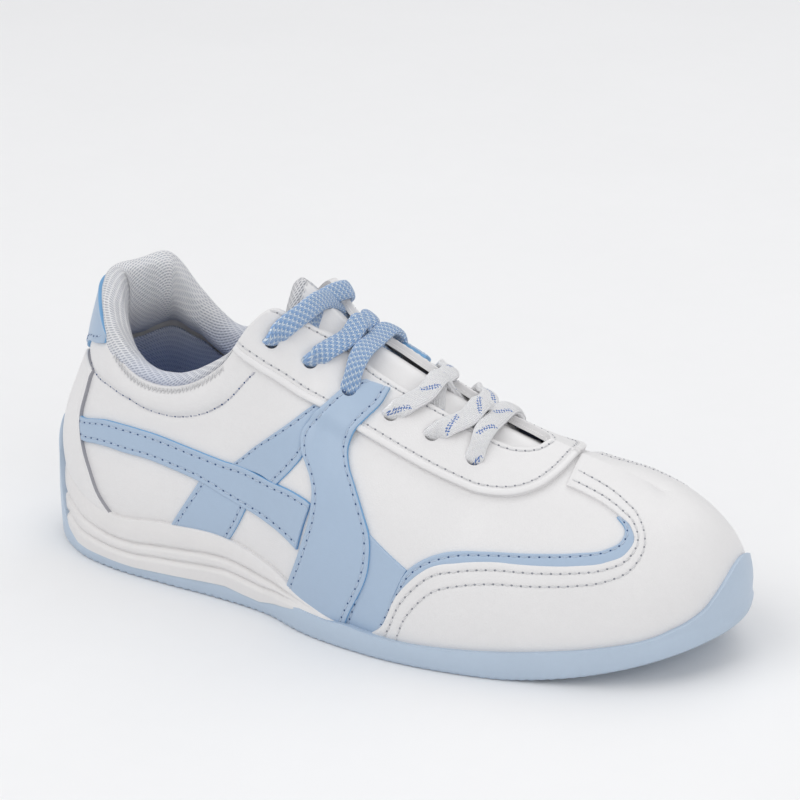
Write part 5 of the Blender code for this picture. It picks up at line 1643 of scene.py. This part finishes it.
class SHOE_OT_laces(bpy.types.Operator):
    """Two flat braided laces, blue over rows one to three and white over rows four to six"""
    bl_idname = "shoe.laces"
    bl_label = "Laces"

    def execute(self, context):
        look = context.scene.shoe_laces
        self.width, self.thick = look.width / MM, look.thickness / MM
        for tag, rows in (("blue", (1, 2, 3)), ("white", (4, 5, 6))):
            self.rows, self.turn = [], 1.0
            self.route(*rows)
            self.braided("flat_lace_" + tag, np.array(self.rows), "lace_" + tag, "lace_" + tag)
            for side, end in ((-1, "outer"), (1, "inner")):
                node = "aglet_%s_%s" % (tag, end)
                self.tip(node, side, rows[0])
        return {"FINISHED"}

    def hole(self, side, row, height, dv=0.0, dp=0.0):
        """Point, normal and outward direction on or beside a lace hole's axis."""
        station, v = EYELETS[row - 1]
        if row == 3 and height > 2:
            height = height + 1.2
        p, vv = np.array([side * (station + dp)]), np.array([v + dv])
        down = bare(p, vv - 0.04, 0.0)[0] - bare(p, vv, 0.0)[0]
        return bare(p, vv, height)[0], last_normal(p, vv)[0], down / np.linalg.norm(down)

    def put(self, point, normal, squeeze=1.0):
        self.rows.append([*point, *(self.turn * normal), squeeze])

    def through(self, side, row, upward, flips=True):
        """Through a hole; the braid folds over, so its face turns."""
        heights = (-2.2, -0.3, 1.2) if upward else (1.2, -0.3, -2.2)
        sign = (-1.0 if upward else 1.0) if flips else 1.0
        for height in heights:
            point, _, out = self.hole(side, row, height)
            self.put(point, sign * out, 0.72 + 0.16 * (height > 1))
        if flips:
            self.turn = -self.turn

    def strand(self, side, row, other, backward=False):
        """Over this eyestay, across the throat, under the far edge to the other hole."""
        rise = 1.5 if side < 0 else -1.2
        (station, _), (far_station, _) = EYELETS[row - 1], EYELETS[other - 1]
        a = np.array([side * (station * 0.45 + far_station * 0.55)])
        b = np.array([-side * (station * 0.12 + far_station * 0.88)])
        near_edge, far_edge = height_at(THROAT, abs(a[0])), height_at(THROAT, abs(b[0]))
        lift = 3.9 if row == 3 else 2.9
        start, n0, _ = self.hole(side, row, 2.9, 0.35 * (near_edge - EYELETS[row - 1][1]) + 0.012,
                                 0.45 * (abs(a[0]) - station))
        onto, n1 = bare(a, np.array([near_edge + 0.01]), lift)[0], last_normal(a, np.array([near_edge]))[0]
        under, n2 = bare(b, np.array([far_edge + 0.01]), -2.6)[0], last_normal(b, np.array([far_edge]))[0]
        half = (abs(a) + abs(b)) / 2
        middle = (bare(-half, np.array([0.985]), rise)[0] + bare(half, np.array([0.985]), rise)[0]) / 2
        up = n1 + n2
        up /= np.linalg.norm(up)
        end, n3, _ = self.hole(-side, other, -3.0, 0.03)
        steps = [(start, n0, 1.0), (onto, n1, 1.0), (middle, up, 1.0), (under, n2, 0.9), (end, n3, 0.7)]
        for point, normal, squeeze in (steps[::-1] if backward else steps):
            self.put(point, normal, squeeze)

    def bar(self, row):
        """Straight run over the throat between two holes."""
        station = EYELETS[row - 1][0]
        edge = np.array([height_at(THROAT, station) - 0.01])
        lift = 4.1 if row == 3 else 3.1
        near, far = [bare(np.array([s * station]), edge, lift)[0] for s in (-1, 1)]
        n = [last_normal(np.array([s * station]), edge)[0] for s in (-1, 1)]
        start, n0, _ = self.hole(-1, row, 2.9, 0.045)
        end, n3, _ = self.hole(1, row, 2.9, 0.045)
        up = (n[0] + n[1]) / np.linalg.norm(n[0] + n[1])
        self.put(start, n0, 0.85)
        self.put(near, n[0])
        self.put((near + far) / 2 + [0, 0, 0.9], up)
        self.put(far, n[1])
        self.put(end, n3, 0.85)

    def tucked(self, side, row, shares):
        """Free end under the eyestay."""
        dp, dv = (-4.0, -0.17) if row == 1 else (-14.0, -0.085)
        for k in shares:
            point, normal, _ = self.hole(side, row, -3.5, dv * k, dp * k)
            self.put(point, normal, 0.62)

    def route(self, first, middle, last):
        self.tucked(-1, first, (0.55, 0.2))
        self.through(-1, first, True, False)
        self.strand(-1, first, middle)
        self.through(1, middle, True)
        self.strand(1, middle, last)
        self.through(-1, last, True)
        self.bar(last)
        self.through(1, last, False)
        self.strand(-1, middle, last, backward=True)
        self.through(-1, middle, False)
        self.strand(1, first, middle, backward=True)
        self.through(1, first, False, False)
        self.tucked(1, first, (0.2, 0.55))

    def braided(self, name, rows, finish, node):
        """Oval section carried along the path, its flat side facing the interpolated normal."""
        fine = along(rows, 520)
        at, n, share = fine[:, :3], fine[:, 3:6], fine[:, 6]
        forward = np.gradient(at, axis=0)
        forward /= np.linalg.norm(forward, axis=1, keepdims=True)
        n = n - forward * np.sum(n * forward, axis=1, keepdims=True)
        n /= np.maximum(np.linalg.norm(n, axis=1, keepdims=True), 1e-6)
        across = np.cross(forward, n)
        turn = np.linspace(0, 2 * np.pi, 30, endpoint=False)
        c, s = np.cos(turn), np.sin(turn)
        x = np.sign(c) * np.abs(c) ** 0.82 * self.width / 2
        y = np.sign(s) * np.abs(s) ** 0.9 * self.thick / 2
        x = x[None] * share[:, None]
        y = y[None] * (1 + 0.5 * (1 - share[:, None]))
        rings = at[:, None] + across[:, None] * x[..., None] + n[:, None] * y[..., None]
        gone = np.concatenate([[0], np.cumsum(np.linalg.norm(np.diff(at, axis=0), axis=1))])
        wide = np.sign(c) * np.abs(c) ** 0.82 * self.width / 2
        face = np.where(s > 0, 0.0, 7.0)
        cloth = np.stack([gone[:, None] + face[None], np.broadcast_to(wide, x.shape), 0 * x], -1)
        solid = Solid()
        solid.loft(rings, 0, cloth)
        solid.build(name, [finish_of(finish)], stand_for=[node], slot=finish, sharp=1.6)

    def tip(self, node, side, row):
        """Plastic film round the end of a lace."""
        dp, dv = (-4.0, -0.17) if row == 1 else (-14.0, -0.085)
        ends = [self.hole(side, row, -3.5, dv * k, dp * k) for k in (1.15, 0.61)]
        at = np.linspace(ends[0][0], ends[1][0], 14)
        forward = ends[1][0] - ends[0][0]
        forward /= np.linalg.norm(forward)
        n = ends[0][1] - forward * (ends[0][1] @ forward)
        n /= np.linalg.norm(n)
        across = np.cross(forward, n)
        turn = np.linspace(0, 2 * np.pi, 16, endpoint=False)
        girth = 1.5 * np.array([0.5, 0.8, 0.95] + [1.0] * 8 + [1.02, 1.04, 1.0])
        rings = at[:, None] + girth[:, None, None] * (np.cos(turn)[None, :, None] * across
                                                      + np.sin(turn)[None, :, None] * n)
        solid = Solid()
        solid.loft(rings)
        solid.build(node.replace("aglet", "film_tip"), [finish_of("aglet")], stand_for=[node],
                    slot="aglet_plastic")


class SHOE_PT_panel(bpy.types.Panel):
    """Lists the makers and their settings"""
    bl_idname = "SHOE_PT_panel"
    bl_label = "Cheer Shoe"
    bl_space_type = "VIEW_3D"
    bl_region_type = "UI"
    bl_category = "Cheer Shoe"

    def draw(self, context):
        scene = context.scene
        for maker in MAKERS:
            self.layout.operator(maker.bl_idname)
        for name, kind in SETTINGS.items():
            box = self.layout.box()
            for key in kind.__annotations__:
                box.prop(getattr(scene, name), key)


SETTINGS = {"shoe_colours": ShoeColours, "shoe_stitches": ShoeStitches, "shoe_sole": ShoeSole,
            "shoe_collar": ShoeCollar, "shoe_laces": ShoeLaces, "shoe_stage": ShoeStage}
MAKERS = (SHOE_OT_stage, SHOE_OT_outsole, SHOE_OT_midsole, SHOE_OT_upper, SHOE_OT_lining, SHOE_OT_insole,
          SHOE_OT_collar, SHOE_OT_eyestay, SHOE_OT_bands, SHOE_OT_heel, SHOE_OT_toe, SHOE_OT_tongue,
          SHOE_OT_laces)
CLASSES = (*SETTINGS.values(), *MAKERS, SHOE_PT_panel)


def register():
    """Adds the classes and the settings to Blender."""
    for kind in CLASSES:
        bpy.utils.register_class(kind)
    for name, kind in SETTINGS.items():
        setattr(bpy.types.Scene, name, PointerProperty(type=kind))


def unregister():
    """Takes them away again."""
    for name in SETTINGS:
        delattr(bpy.types.Scene, name)
    for kind in reversed(CLASSES):
        bpy.utils.unregister_class(kind)


def main():
    """Builds everything in order."""
    register()
    for maker in MAKERS:
        group, name = maker.bl_idname.split(".")
        result = getattr(getattr(bpy.ops, group), name)()
        if result != {"FINISHED"}:
            raise RuntimeError("%s did not finish" % maker.bl_label)


if __name__ == "__main__":
    main()
